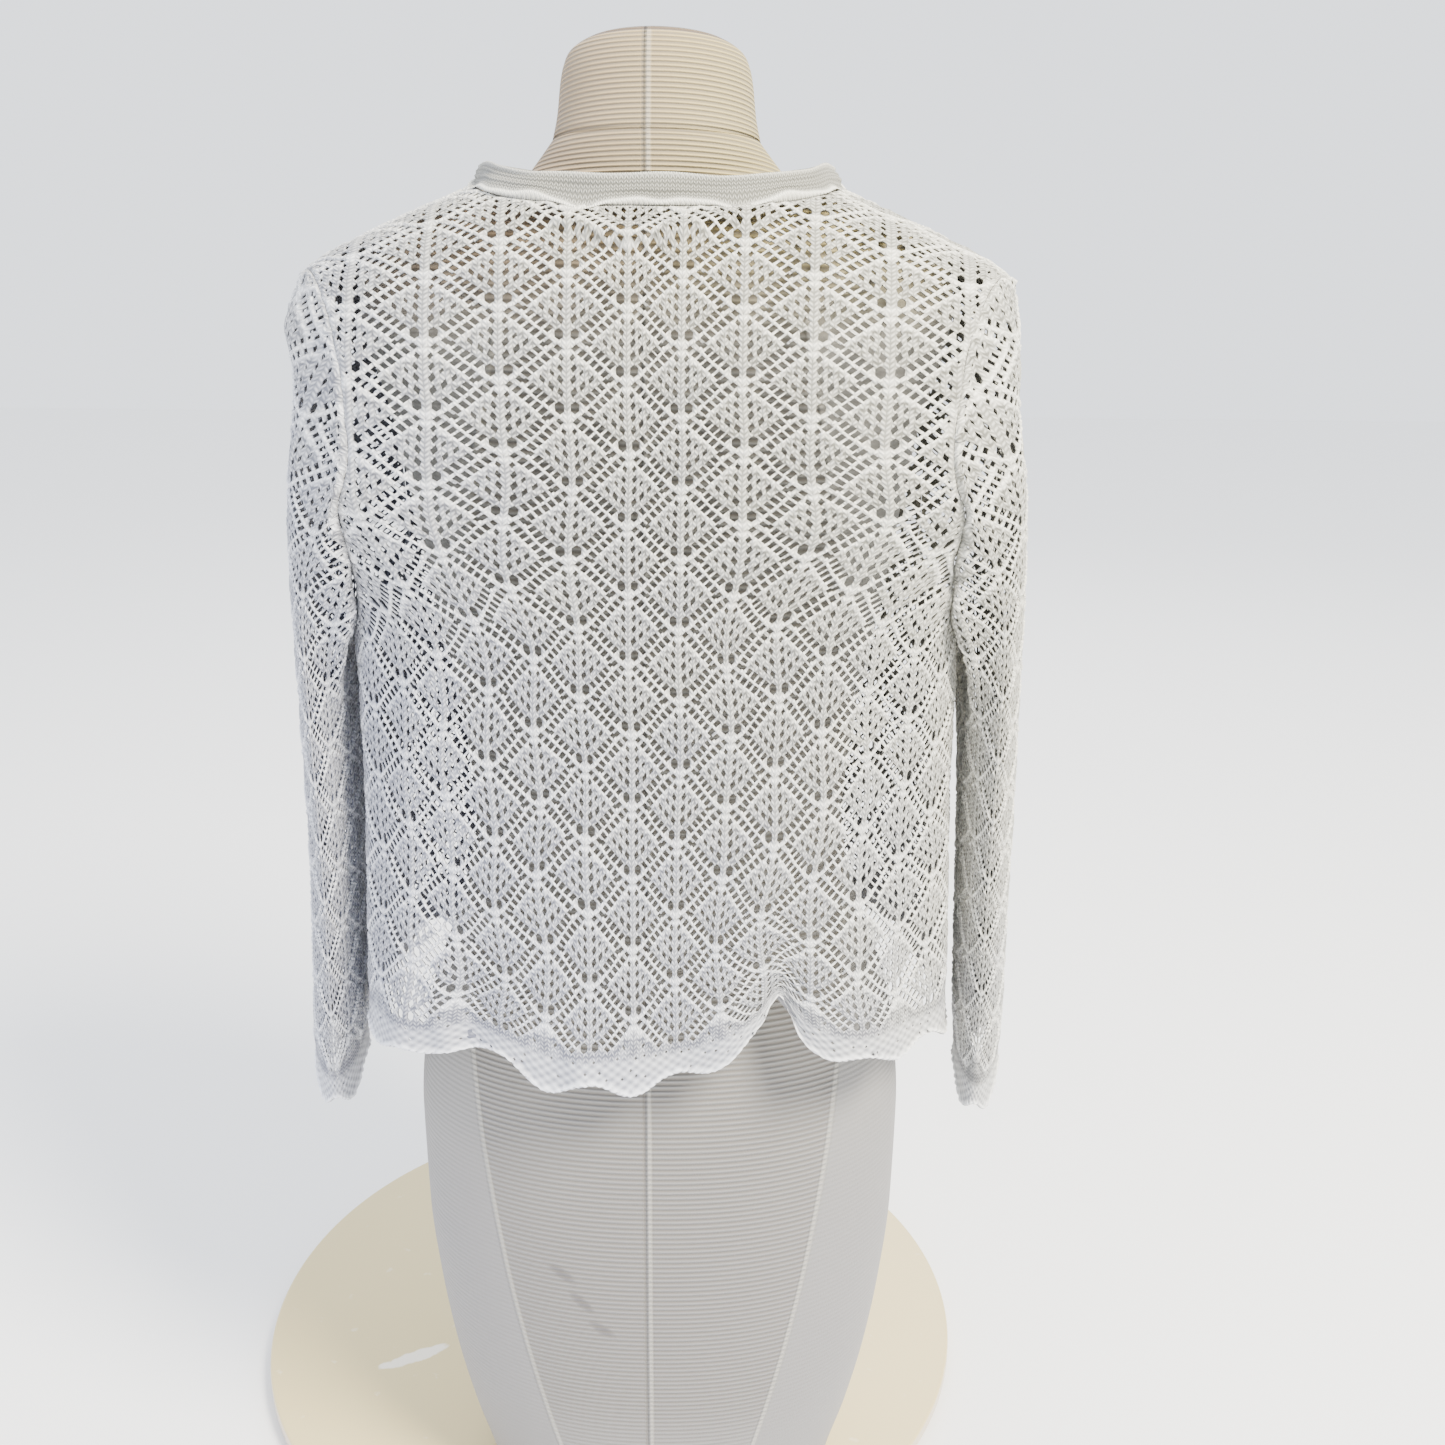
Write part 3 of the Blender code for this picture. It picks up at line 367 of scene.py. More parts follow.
# places on the right half of a leaf where the sheet gets extra points: its rib and its face
RIB_DROPS = (2.2, 3.6, 5.0, 6.4, 7.8, 9.2, 10.6, 12.0)
FACE_PLACES = ((1.6, 3.7), (1.5, 5.2), (2.3, 4.6), (3.3, 6.2), (1.3, 7.4), (1.3, 9.6), (2.6, 8.0))
# smudges low on the form's back: x and z from its middle, and turn
SMUDGES = ((-0.064, 0.262, 0.6), (-0.051, 0.240, 0.8), (-0.037, 0.218, 0.6))
UV_SCALE = 10.0
CAMERA_AT = (0.0933, -1.1705, 0.976)
CAMERA_PITCH = 18.884
CAMERA_ROLL = 0.557
CAMERA_LENS = 38.99
# name, place, aim, width, power and colour
LIGHTS = (
    ("key", (1.5, -1.6, 2.7), (0.05, -0.15, 0.75), 1.0, 330.0, (1.0, 0.93, 0.78)),
    ("fill", (-2.2, -1.4, 1.3), (0.05, -0.15, 0.7), 1.8, 34.0, (0.74, 0.80, 1.0)),
    ("rear", (0.4, 2.4, 2.2), (0.05, -0.10, 0.8), 1.8, 34.0, (1.0, 0.98, 0.95)),
)


def column(table, name):
    """One named column of a table as an array of numbers."""
    place = table[0].index(name)
    return np.array([row[place] for row in table[1:]], dtype=float)


def rows(table):
    """Rows of a table as dictionaries by column name."""
    return [dict(zip(table[0], row)) for row in table[1:]]


def bell(at, middle, width):
    """1 at the middle, falling smoothly to 0 a few widths away."""
    return np.exp(-(((at - middle) / width) ** 2))


def bulge(at, shape):
    """A bell with its height, middle and width given together."""
    height, middle, width = shape
    return height * bell(at, middle, width)


def waves(shapes, *at):
    """Sum of sine waves, each with its height, its radians along each way and its phase."""
    total = 0.0
    for height, *rates, phase in shapes:
        total = total + height * np.sin(sum(a * rate for a, rate in zip(at, rates)) + phase)
    return total


def ramp(at, low, high):
    """0 at the low end, 1 at the high end, straight between them."""
    return np.clip((at - low) / (high - low), 0.0, 1.0)


def unit(vectors):
    """Vectors made one metre long."""
    return vectors / np.maximum(np.linalg.norm(vectors, axis=-1, keepdims=True), 1e-9)


def lengths_along(points):
    """Distance of each point of a line from its start."""
    steps = np.linalg.norm(np.diff(points, axis=0), axis=1)
    return np.concatenate(([0.0], np.cumsum(steps)))


def smooth(table, key, value):
    """Smooth function through a table's rows that never overshoots them."""
    xs = column(table, key)
    ys = column(table, value)
    step = np.diff(xs)
    rise = np.diff(ys) / step
    slope = np.zeros_like(xs)
    slope[0] = rise[0]
    slope[-1] = rise[-1]
    for i in range(1, len(xs) - 1):
        if rise[i - 1] * rise[i] > 0.0:
            slope[i] = 2.0 * rise[i - 1] * rise[i] / (rise[i - 1] + rise[i])

    def value_at(at):
        at = np.clip(np.asarray(at, dtype=float), xs[0], xs[-1])
        k = np.clip(np.searchsorted(xs, at) - 1, 0, len(step) - 1)
        h = step[k]
        t = (at - xs[k]) / h
        near = ys[k] * (1 + 2 * t) * (1 - t) ** 2 + slope[k] * h * t * (1 - t) ** 2
        far = ys[k + 1] * t * t * (3 - 2 * t) - slope[k + 1] * h * t * t * (1 - t)
        return near + far

    return value_at


def oval(half, depth, square, count):
    """Quarter of an oval from the middle of its back to its side, evenly spaced points."""
    turn = np.linspace(0.0, math.pi / 2, 400)
    x = half * np.sin(turn) ** (2.0 / square)
    y = depth * np.cos(turn) ** (2.0 / square)
    length = np.concatenate(([0.0], np.cumsum(np.hypot(np.diff(x), np.diff(y)))))
    even = np.linspace(0.0, length[-1], count)
    return np.interp(even, length, x), np.interp(even, length, y), length[-1]


def between_rows(grid, row, place):
    """Bilinear value of grid[row, place], run on in a straight line past the ends."""
    i = np.clip(row, 0, grid.shape[0] - 2).astype(int)
    j = np.clip(place, 0, grid.shape[1] - 2).astype(int)
    u = row - i
    v = place - j
    low = grid[i, j] * (1 - v) + grid[i, j + 1] * v
    high = grid[i + 1, j] * (1 - v) + grid[i + 1, j + 1] * v
    return low * (1 - u) + high * u


def near_line(wale, course, row):
    """Distance from a crease's line, in wales, and how strong it is there."""
    a = np.array([row["wale"], row["course"]])
    run = np.array([row["to_wale"], row["to_course"]]) - a
    share = (wale - a[0]) * run[0] + (course - a[1]) * run[1] * 0.46
    share = share / (run[0] ** 2 + run[1] ** 2 * 0.46)
    bow = 0.6 * np.sin(share * 7.0 + row["width"])
    off = wale - a[0] - run[0] * np.clip(share, 0.0, 1.0) - bow
    ends = np.clip(np.minimum(share, 1.0 - share) / 0.3 + 0.3, 0.0, 1.0)
    return off, ends * ends * (3.0 - 2.0 * ends)


class Drape:
    """The garment's outer surface for its back (-1) or its front (+1)."""

    ROW = 2.0
    POINTS = 65
    FIRST = -4.0

    def __init__(self, side):
        self.side = side
        self.name = "back" if side < 0 else "front"
        self.middle = smooth(WALE_WIDTHS, "course", "middle")
        self.gain = smooth(WALE_WIDTHS, "course", "gain")
        self.height = smooth(DRAPE, "course", "z")
        self.hem = smooth(HEM_LINE, "wale", self.name)
        self.tabulate_body()
        self.tabulate_yoke()

    def tabulate_body(self):
        """Sections of the body from the hem to the yoke's foot, every few courses."""
        half = smooth(DRAPE, "course", "half")
        depth = smooth(DRAPE, "course", self.name)
        square = smooth(DRAPE, "course", "square")
        self.rows = np.arange(self.FIRST, YOKE_COURSE + 0.5 * self.ROW, self.ROW)
        curves = [oval(half(c), depth(c), square(c), self.POINTS) for c in self.rows]
        self.body_x = np.array([c[0] for c in curves])
        self.body_y = np.array([c[1] for c in curves])
        self.quarter = np.array([c[2] for c in curves])

    def arc(self, wale, course):
        """Distance around the section from the middle to a wale."""
        quarter = np.interp(course, self.rows, self.quarter)
        middle = self.middle(course)
        fitted = (quarter / SIDE_WALE - middle) / SIDE_WALE
        share = ramp(course, UNDERARM_COURSE, 100.0)
        gain = fitted * (1.0 - share) + self.gain(course) * share
        return wale * (middle + gain * wale)

    def tabulate_yoke(self):
        """Lines of stitches that climb from the yoke's foot to the shoulder line."""
        shoulder = smooth(SHOULDER, "x", "z")
        wales = np.arange(0.0, 45.0)
        foot = self.arc(wales, np.full_like(wales, YOKE_COURSE))
        place = foot / self.quarter[-1] * (self.POINTS - 1)
        foot_x = np.interp(place, np.arange(self.POINTS), self.body_x[-1])
        foot_y = np.interp(place, np.arange(self.POINTS), self.body_y[-1])
        top_x = wales * (self.middle(190.0) + self.gain(190.0) * wales)
        turn = np.linspace(0.0, math.pi / 2, 200)
        back = np.cos(turn) ** (2.0 / YOKE_ROUND)
        up = np.sin(turn) ** (2.0 / YOKE_ROUND)
        xs, ys, zs, lengths = [], [], [], []
        for i in range(len(wales)):
            x = foot_x[i] + (top_x[i] - foot_x[i]) * (1.0 - back)
            y = foot_y[i] * back
            z = YOKE_HEIGHT + (shoulder(top_x[i]) - YOKE_HEIGHT) * up
            length = lengths_along(np.stack([x, y, z], axis=1))
            even = np.linspace(0.0, length[-1], self.POINTS)
            xs.append(np.interp(even, length, x))
            ys.append(np.interp(even, length, y))
            zs.append(np.interp(even, length, z))
            lengths.append(length[-1])
        self.yoke = np.array(xs), np.array(ys), np.array(zs)
        self.climb = np.array(lengths)
        self.yoke_wales = wales

    def shoulder_course(self, wale):
        """Course at which a wale meets the shoulder seam."""
        return YOKE_COURSE + np.interp(np.abs(wale), self.yoke_wales, self.climb) / YOKE_STEP

    def course_at(self, wale, height):
        """Course of a wale in the yoke at a given height."""
        track = between_rows(self.yoke[2], np.full(self.POINTS, abs(wale)), np.arange(self.POINTS))
        share = np.interp(height, track, np.linspace(0.0, 1.0, self.POINTS))
        return YOKE_COURSE + share * (self.shoulder_course(wale) - YOKE_COURSE)

    def plain(self, wale, course):
        """Surface without folds."""
        wide = np.abs(wale)
        low = np.minimum(course, YOKE_COURSE)
        row = (low - self.FIRST) / self.ROW
        quarter = np.interp(low, self.rows, self.quarter)
        place = self.arc(wide, low) / quarter * (self.POINTS - 1)
        x = between_rows(self.body_x, row, place)
        y = between_rows(self.body_y, row, place)
        z = self.height(low)
        share = (course - YOKE_COURSE) * YOKE_STEP
        share = share / np.interp(wide, self.yoke_wales, self.climb) * (self.POINTS - 1)
        high = [between_rows(grid, wide, share) for grid in self.yoke]
        upper = course > YOKE_COURSE
        x = np.where(upper, high[0], x) * np.sign(wale)
        y = np.where(upper, high[1], y) * self.side
        z = np.where(upper, high[2], z)
        return np.stack([x, y, z], axis=-1)

    def fold(self, wale, course):
        """How far the folds push the cloth outwards."""
        total = np.zeros_like(wale)
        for fold in rows(FOLDS):
            if fold["side"] == self.name:
                fade = np.clip(1.0 - course / fold["climb"], 0.0, 1.0) ** 1.4
                middle = fold["wale"] + fold["drift"] * course
                total += fold["depth"] * bell(wale, middle, fold["width"]) * fade
        return total * (1.0 - np.clip(np.abs(wale) / SIDE_WALE, 0.0, 1.0) ** 8)

    def crease(self, wale, course):
        """Softer creases that the solids leave out."""
        total = np.zeros_like(wale)
        for crease in rows(CREASES):
            if crease["side"] == self.name:
                off, ends = near_line(wale, course, crease)
                total += crease["depth"] * ends * bell(off, 0.0, crease["width"])
        if self.side < 0:
            off = wale - NECK_FOLD_WALE
            aside = np.where(off < 0.0, -off / NECK_FOLD_REACH[0], off / NECK_FOLD_REACH[1])
            span = np.clip(1.3 - aside, 0.0, 1.0)
            low = self.course_at(0.0, BACK_NECK[-1][1]) - NECK_FOLD_DROP
            off = course - low - NECK_FOLD_CLIMB * aside ** 1.2
            total += NECK_FOLD_DEPTH * bell(off, 0.0, np.where(off > 0.0, *NECK_FOLD_WIDTHS)) * span
            total += bulge(off, NECK_FOLD_HOLLOW) * span
        return total * (1.0 - np.clip(np.abs(wale) / SIDE_WALE, 0.0, 1.0) ** 12)

    def slope(self, function, wale, course):
        """Outward direction of a surface function."""
        d = 0.4
        across = function(wale + d, course) - function(wale - d, course)
        along = function(wale, course + d) - function(wale, course - d)
        return unit(np.cross(across, along) * -self.side)

    def away(self, wale, course):
        """Outward direction of the plain surface, also on its middle line."""
        return self.slope(self.plain, np.where(np.abs(wale) < 0.5, 0.5, wale), course)

    def outer(self, wale, course):
        """Outer surface with its folds and its hanging hem."""
        wale = np.asarray(wale, dtype=float)
        course = np.asarray(course, dtype=float)
        at = self.plain(wale, course)
        at = at + self.away(wale, course) * self.fold(wale, course)[..., None]
        lift = np.clip(1.0 - course / HEM_LIFT_COURSES, 0.0, 1.3) ** 2
        at[..., 2] += self.hem(wale) * lift
        return at

    def creased(self, wale, course):
        """Outer surface with the soft creases too."""
        at = self.outer(wale, course)
        return at + self.away(wale, course) * self.crease(wale, course)[..., None]

    def place(self, wale, course, offset):
        """Points at an offset out of the creased surface, never across the side line."""
        at = self.creased(wale, course)
        at = at + self.slope(self.creased, wale, course) * offset[..., None]
        at[..., 1] = self.side * np.maximum(self.side * at[..., 1], SEAM_GAP / 2)
        return at


BACK = Drape(-1)
FRONT = Drape(1)


def along(points, step):
    """Smooth line through a few points, sampled about every step."""
    points = np.array(points, dtype=float)
    chord = lengths_along(points)
    table = [("s", "a", "b")] + [(s, p[0], p[1]) for s, p in zip(chord, points)]
    count = max(2, int(round(chord[-1] / step)) + 1)
    even = np.linspace(0.0, chord[-1], count)
    return np.stack([smooth(table, "s", "a")(even), smooth(table, "s", "b")(even)], axis=1)


def hem_edge(first, last):
    """Scalloped hem between two wales, with small knitted knuckles."""
    count = int(round(abs(last - first) / 0.5)) + 1
    wales = np.linspace(first, last, count)
    dip = np.cos((wales - FIRST_COLUMN) * 2.0 * math.pi / LEAF)
    knuckle = 0.10 * np.cos(wales * 2.0 * math.pi)
    return np.stack([wales, -HEM_SCALLOP * dip + knuckle], axis=1)


def armhole_edge(drape, count):
    """Armhole from the underarm to the shoulder tip, in even steps on the cloth."""
    tip = (TIP_WALE, drape.shoulder_course(TIP_WALE) - COURSE_GAP)
    fine = along(list(ARMHOLE[1:]) + [tip], 1.0)
    length = lengths_along(drape.outer(fine[:, 0], fine[:, 1]))
    even = np.linspace(0.0, length[-1], count)
    return np.stack([np.interp(even, length, fine[:, k]) for k in (0, 1)], axis=1)


def shoulder_edge(drape):
    """Shoulder seam from the tip to the neck."""
    wales = np.linspace(TIP_WALE, NECK_WALE, 18)
    return np.stack([wales, drape.shoulder_course(wales) - COURSE_GAP], axis=1)


def back_neck_edge(step):
    """Right half of the back neckline, from the shoulder to the middle."""
    points = [(NECK_WALE, float(BACK.shoulder_course(NECK_WALE)) - COURSE_GAP)]
    for wale, height in BACK_NECK[1:]:
        points.append((wale, float(BACK.course_at(wale, height))))
    return along(points, step)


def front_neck_edge(step):
    """Front neckline of one side, from the shoulder to the opening."""
    start = (NECK_WALE, float(FRONT.shoulder_course(NECK_WALE)) - COURSE_GAP)
    edge = float(smooth(FRONT_EDGE, "course", "wale")(FRONT_NECK_COURSE))
    return along([start, *FRONT_NECK, (edge, FRONT_NECK_COURSE)], step)


def side_edge(first, last):
    """Side seam, a hair short of the side wale."""
    gap = SEAM_GAP * 0.5 / (WALE_MM * 0.001)
    courses = np.linspace(first, last, int(round(abs(last - first))) + 1)
    return np.stack([np.full_like(courses, SIDE_WALE - gap), courses], axis=1)


def back_outline():
    """Outline of the back, going round from the left end of the hem."""
    hem = hem_edge(-SIDE_WALE, SIDE_WALE)
    side = side_edge(hem[-1][1], ARMHOLE[1][1])
    hem[0, 0] = -side[0, 0]
    hem[-1, 0] = side[0, 0]
    right = np.concatenate([side[1:], armhole_edge(BACK, ARMHOLE_POINTS + 1)[1:],
                            shoulder_edge(BACK)[1:], back_neck_edge(0.8)[1:]])
    left = right[-2::-1] * np.array([-1.0, 1.0])
    return np.concatenate([hem, right, left]), len(hem)


def front_outline():
    """Outline of the right front, going round from the opening's foot."""
    edge = smooth(FRONT_EDGE, "course", "wale")
    hem = hem_edge(LEAF / 2, SIDE_WALE)
    hem[0, 0] = float(edge(hem[0][1]))
    side = side_edge(hem[-1][1], ARMHOLE[1][1])
    hem[-1, 0] = side[0, 0]
    courses = np.linspace(FRONT_NECK_COURSE, hem[0][1], 150)[1:-1]
    opening = np.stack([edge(courses), courses], axis=1)
    outline = np.concatenate([hem, side[1:], armhole_edge(FRONT, ARMHOLE_POINTS + 1)[1:],
                              shoulder_edge(FRONT)[1:], front_neck_edge(0.8)[1:], opening])
    return outline, len(hem)


def inside(points, outline):
    """Which points lie inside a closed outline."""
    points = np.asarray(points)
    result = np.zeros(len(points), dtype=bool)
    previous = outline[-1]
    for here in outline:
        crosses = (here[1] > points[:, 1]) != (previous[1] > points[:, 1])
        rise = previous[1] - here[1]
        if rise != 0.0:
            at = (previous[0] - here[0]) * (points[:, 1] - here[1]) / rise + here[0]
            result ^= crosses & (points[:, 0] < at)
        previous = here
    return result


def clearance(points, outline):
    """Distance of each point from an outline, in wales and courses."""
    points = np.asarray(points)
    best = np.full(len(points), 1e9)
    for a, b in zip(outline, np.roll(outline, -1, axis=0)):
        run = b - a
        share = np.clip(((points - a) @ run) / max(run @ run, 1e-9), 0.0, 1.0)
        best = np.minimum(best, np.linalg.norm(points - a - share[:, None] * run, axis=1))
    return best


def leaf_tops(low_wale, high_wale, high_course, phase):
    """Top nodes of all the leaves of the repeat, in wales and courses."""
    nodes = []
    for i in range(-14, 15):
        for k in range(-4, 18):
            wale = FIRST_COLUMN + phase[0] + i * LEAF / 2
            course = phase[1] + LEAF + k * LEAF + (LEAF / 2) * (i % 2)
            if low_wale - LEAF < wale < high_wale + LEAF and course < high_course + LEAF:
                nodes.append((wale, course))
    return np.array(nodes)


def leaf_frame(wale, course, phase):
    """Each point in the frame of its leaf: wales from the middle, courses below the top."""
    best_u = np.zeros_like(wale)
    best_v = np.full_like(wale, LEAF / 2)
    best = np.full(wale.shape, 1e9)
    wale = wale - phase[0]
    course = course - phase[1]
    row = np.floor(course / (LEAF / 2))
    side = np.floor((wale - FIRST_COLUMN) / (LEAF / 2))
    for di in (0, 1):
        for dk in (0, 1, 2):
            i = side + di
            k = row + dk
            match = np.mod(i + k, 2) == 0
            u = wale - FIRST_COLUMN - i * (LEAF / 2)
            v = k * (LEAF / 2) - course
            far = np.abs(u) / 5.6 + np.abs(v - 6.9) / 8.2
            take = match & (far < best)
            best = np.where(take, far, best)
            best_u = np.where(take, u, best_u)
            best_v = np.where(take, v, best_v)
    return best_u, best_v


def cord_distance(u, v):
    """Distance in wales from the bright line round a leaf."""
    best = np.full(u.shape, 1e9)
    wide = np.abs(u)
    line = [(row[0], row[1] * 0.68) for row in LEAF_CORD[1:]]
    for (ax, ay), (bx, by) in zip(line, line[1:]):
        dx = bx - ax
        dy = by - ay
        share = np.clip(((wide - ax) * dx + (v * 0.68 - ay) * dy) / (dx * dx + dy * dy), 0.0, 1.0)
        best = np.minimum(best, np.hypot(wide - ax - share * dx, v * 0.68 - ay - share * dy))
    return best


def relief(wale, course, phase):
    """How far yarn stands out of the sheet: the cords and middle rib, and the leaf's swell."""
    u, v = leaf_frame(wale, course, phase)
    cord = bulge(cord_distance(u, v), CORD_RELIEF)
    rib = bulge(u, RIB_RELIEF) * ((v > 1.0) & (v < 13.0))
    swell = bulge(u, LEAF_SWELL) * bell(v, 7.6, 4.4)
    fade = np.clip((course - BORDER_TOP + 1.0) / 3.0, 0.0, 1.0)
    return np.maximum(cord, rib) * fade, swell * fade


def hole_loop(wale, course, width, height, slant=0.0, shape="slit"):
    """One eyelet: a slit, an oval, or a cell between two rungs of an open line beside a cord."""
    if shape in ("rung", "cell"):
        side = 1.0 if (slant > 0.0) == (shape == "rung") else -1.0
        run = 0.5 * width * np.array([1.0, -1.0, -1.0, 1.0])
        rise = 0.5 * height * np.array([1.0, 1.0, -1.0, -1.0])
        across = (run + rise) * math.sqrt(0.5) * side
        up = (rise - run) * math.sqrt(0.5)
        loop = np.stack([wale + across / WALE_MM, course + up / COURSE_MM], axis=1)
        return loop if side > 0.0 else loop[::-1]
    count = 4 if shape == "slit" else 6
    turn = math.pi / 2 + np.arange(count) * 2.0 * math.pi / count
    across = 0.5 * width * np.cos(turn) + slant * np.sin(turn)
    return np.stack([wale + across, course + 0.5 * height * np.sin(turn)], axis=1)


def eyelets(outline, phase):
    """Outlines of all the eyelets that lie well inside a panel."""
    low, high = outline.min(axis=0), outline.max(axis=0)
    rng = np.random.default_rng(7)
    loops, middles = [], []
    for wale, course in leaf_tops(low[0], high[0], high[1], phase):
        whole = course > PART_LEAF_TOP
        for hand in (-1.0, 1.0):
            for r in rows(LEAF_EYELETS):
                if not whole and (r["drop"] > PART_LEAF_DROP or r["wale"] < PART_LEAF_WALE):
                    continue
                at = (wale + hand * r["wale"], course - r["drop"])
                size = 1.0 + EYELET_SPREAD * rng.uniform(-1.0, 1.0)
                shift = rng.uniform(-EYELET_STRAY, EYELET_STRAY, 2)
                slant = hand * (r["slant"] or 0.001)
                loops.append(hole_loop(at[0] + shift[0], at[1] + shift[1], r["width"] * size,
                                       r["height"] * size, slant, r["shape"]))
                middles.append(at)
    count = len(middles)
    for wale in np.arange(low[0] + 1.0, high[0], BORDER_STEP):
        for course in BORDER_ROWS:
            if rng.uniform() < BORDER_SHARE:
                at = (wale + rng.uniform(-0.6, 0.6), course + rng.uniform(-0.5, 0.5))
                loops.append(hole_loop(*at, *BORDER_EYELET))
                middles.append(at)
    middles = np.array(middles)
    keep = inside(middles, outline)
    keep[keep] = clearance(middles[keep], outline) > EYELET_MARGIN
    keep[:count] &= middles[:count, 1] > BORDER_TOP
    near = np.nonzero(keep)[0]
    near = near[clearance(middles[near], outline) < 1.6]
    for n in near:
        free = clearance(loops[n], outline).min() > CORNER_MARGIN
        keep[n] = bool(free and np.all(inside(loops[n], outline)))
    kept = [loop for loop, ok in zip(loops, keep) if ok]
    return kept + seam_fillers(outline, kept)


def evened(loops, place):
    """Keeps eyelets from growing where the knit is stretched over a tight curve."""
    middles = np.array([loop.mean(axis=0) for loop in loops])
    w, c = middles[:, 0], middles[:, 1]
    flat = np.zeros(len(w))
    across = np.linalg.norm(place(w + 0.3, c, flat) - place(w - 0.3, c, flat), axis=1) / 0.6
    up = np.linalg.norm(place(w, c + 0.3, flat) - place(w, c - 0.3, flat), axis=1) / 0.6
    wide = np.clip(WIDEST_WALE / np.maximum(across, 1e-6), 0.35, 1.0)
    tall = np.clip(TALLEST_COURSE / np.maximum(up, 1e-6), 0.30, 1.0)
    return [m + (loop - m) * np.array([a, b]) for loop, m, a, b in zip(loops, middles, wide, tall)]


def seam_fillers(outline, loops):
    """Small eyelets beside the seams, where a whole one of the repeat has no room."""
    corners = np.concatenate(loops)
    cell = {}
    for n, p in enumerate(np.floor(corners).astype(int)):
        cell.setdefault((int(p[0]), int(p[1])), []).append(n)
    high = outline[:, 1] > BORDER_TOP
    added = []
    for reach in SEAM_ROWS:
        run = np.roll(outline, -1, axis=0) - outline
        length = np.maximum(np.linalg.norm(run, axis=1, keepdims=True), 1e-9)
        inward = np.stack([-run[:, 1], run[:, 0]], axis=1) / length
        spots = outline + 0.5 * run + inward * reach
        ok = high & inside(spots, outline)
        ok[ok] = clearance(spots[ok], outline) > reach - 0.06
        for p in spots[ok]:
            key = (int(math.floor(p[0])), int(math.floor(p[1])))
            around = [n for i in (-1, 0, 1) for j in (-1, 0, 1)
                      for n in cell.get((key[0] + i, key[1] + j), ())]
            near = corners[around] if around else np.zeros((0, 2))
            if len(near) and np.hypot(near[:, 0] - p[0], (near[:, 1] - p[1]) * 0.7).min() < 0.55:
                continue
            if any(math.hypot(q[0] - p[0], (q[1] - p[1]) * 0.7) < 0.95 for q in added):
                continue
            added.append(p)
    return [hole_loop(*p, *SEAM_EYELET) for p in added]


def yarn_points(outline, holes, hem_points, phase):
    """Extra points on the cords, ribs and leaf faces, clear of every hole."""
    low, high = outline.min(axis=0), outline.max(axis=0)
    points = []
    cord = np.array(LEAF_CORD[1:])
    dense = []
    for a, b in zip(cord, cord[1:]):
        dense += [tuple(a + (b - a) * t) for t in (0.0, 0.5)]
    half = dense + [(0.0, v) for v in RIB_DROPS] + list(FACE_PLACES)
    for wale, course in leaf_tops(low[0], high[0], high[1], phase):
        for u, v in half:
            points.append((wale + u, course - v))
            if u > 0.0:
                points.append((wale - u, course - v))
    border = np.arange(low[0], high[0], 0.75)
    for course in np.arange(-0.6, 6.4, 1.1):
        points += [(w + 0.37 * (int(round(course / 1.1)) % 2), course) for w in border]
    points = np.array(points)
    keep = inside(points, outline)
    keep[keep] = clearance(points[keep], outline) > POINT_MARGIN
    points = points[keep]
    for inset in (0.35, 0.8):
        rim = hem_points + np.array([0.0, inset])
        ok = inside(rim, outline)
        points = np.concatenate([points, rim[1:-1][ok[1:-1]]])
    cell = {}
    flat = np.concatenate(holes)
    owner = np.concatenate([np.full(len(h), n) for n, h in enumerate(holes)])
    for p, n in zip(np.floor(flat).astype(int), owner):
        for dx in (-1, 0, 1):
            for dy in (-1, 0, 1):
                cell.setdefault((p[0] + dx, p[1] + dy), set()).add(int(n))
    grown = [h.mean(axis=0) + (h - h.mean(axis=0)) * 1.22 for h in holes]
    result, seen = [], {}
    for p in points:
        key = (int(math.floor(p[0])), int(math.floor(p[1])))
        if any(point_in(p, grown[n]) for n in cell.get(key, ())):
            continue
        spot = (int(round(p[0] / 0.2)), int(round(p[1] / 0.3)))
        if spot in seen:
            continue
        seen[spot] = True
        result.append(p)
    return np.array(result)


def point_in(p, loop):
    """Whether a point lies in a convex loop that runs anticlockwise."""
    n = len(loop)
    for i in range(n):
        a = loop[i]
        b = loop[(i + 1) % n]
        if (b[0] - a[0]) * (p[1] - a[1]) - (b[1] - a[1]) * (p[0] - a[0]) < 0.0:
            return False
    return True


def triangulate(outline, holes, extra):
    """Triangles over an outline with holes; returns the places and the triangles."""
    scale = np.array([WALE_MM, COURSE_MM])
    loops = [outline] + holes
    flat = np.concatenate(loops + ([extra] if len(extra) else []))
    edges = []
    start = 0
    for loop in loops:
        count = len(loop)
        edges += [(start + i, start + (i + 1) % count) for i in range(count)]
        start += count
    result = delaunay_2d_cdt([Vector(p) for p in (flat * scale).tolist()], edges, [], 0, 1e-5)
    places = np.array([tuple(v) for v in result[0]]) / scale
    triangles = np.array([tuple(f) for f in result[2]])
    return places, triangles


def drop_holes(places, triangles, outline, holes):
    """Leaves out the triangles that lie in an eyelet or outside the panel."""
    middles = places[triangles].mean(axis=1)
    keep = inside(middles, outline)
    cell = {}
    for n, h in enumerate(holes):
        lo = np.floor(h.min(axis=0)).astype(int)
        hi = np.floor(h.max(axis=0)).astype(int)
        for i in range(lo[0], hi[0] + 1):
            for j in range(lo[1], hi[1] + 1):
                cell.setdefault((i, j), []).append(n)
    keys = np.floor(middles).astype(int)
    for t in np.nonzero(keep)[0]:
        for n in cell.get((int(keys[t][0]), int(keys[t][1])), ()):
            if point_in(middles[t], holes[n]):
                keep[t] = False
                break
    return triangles[keep]


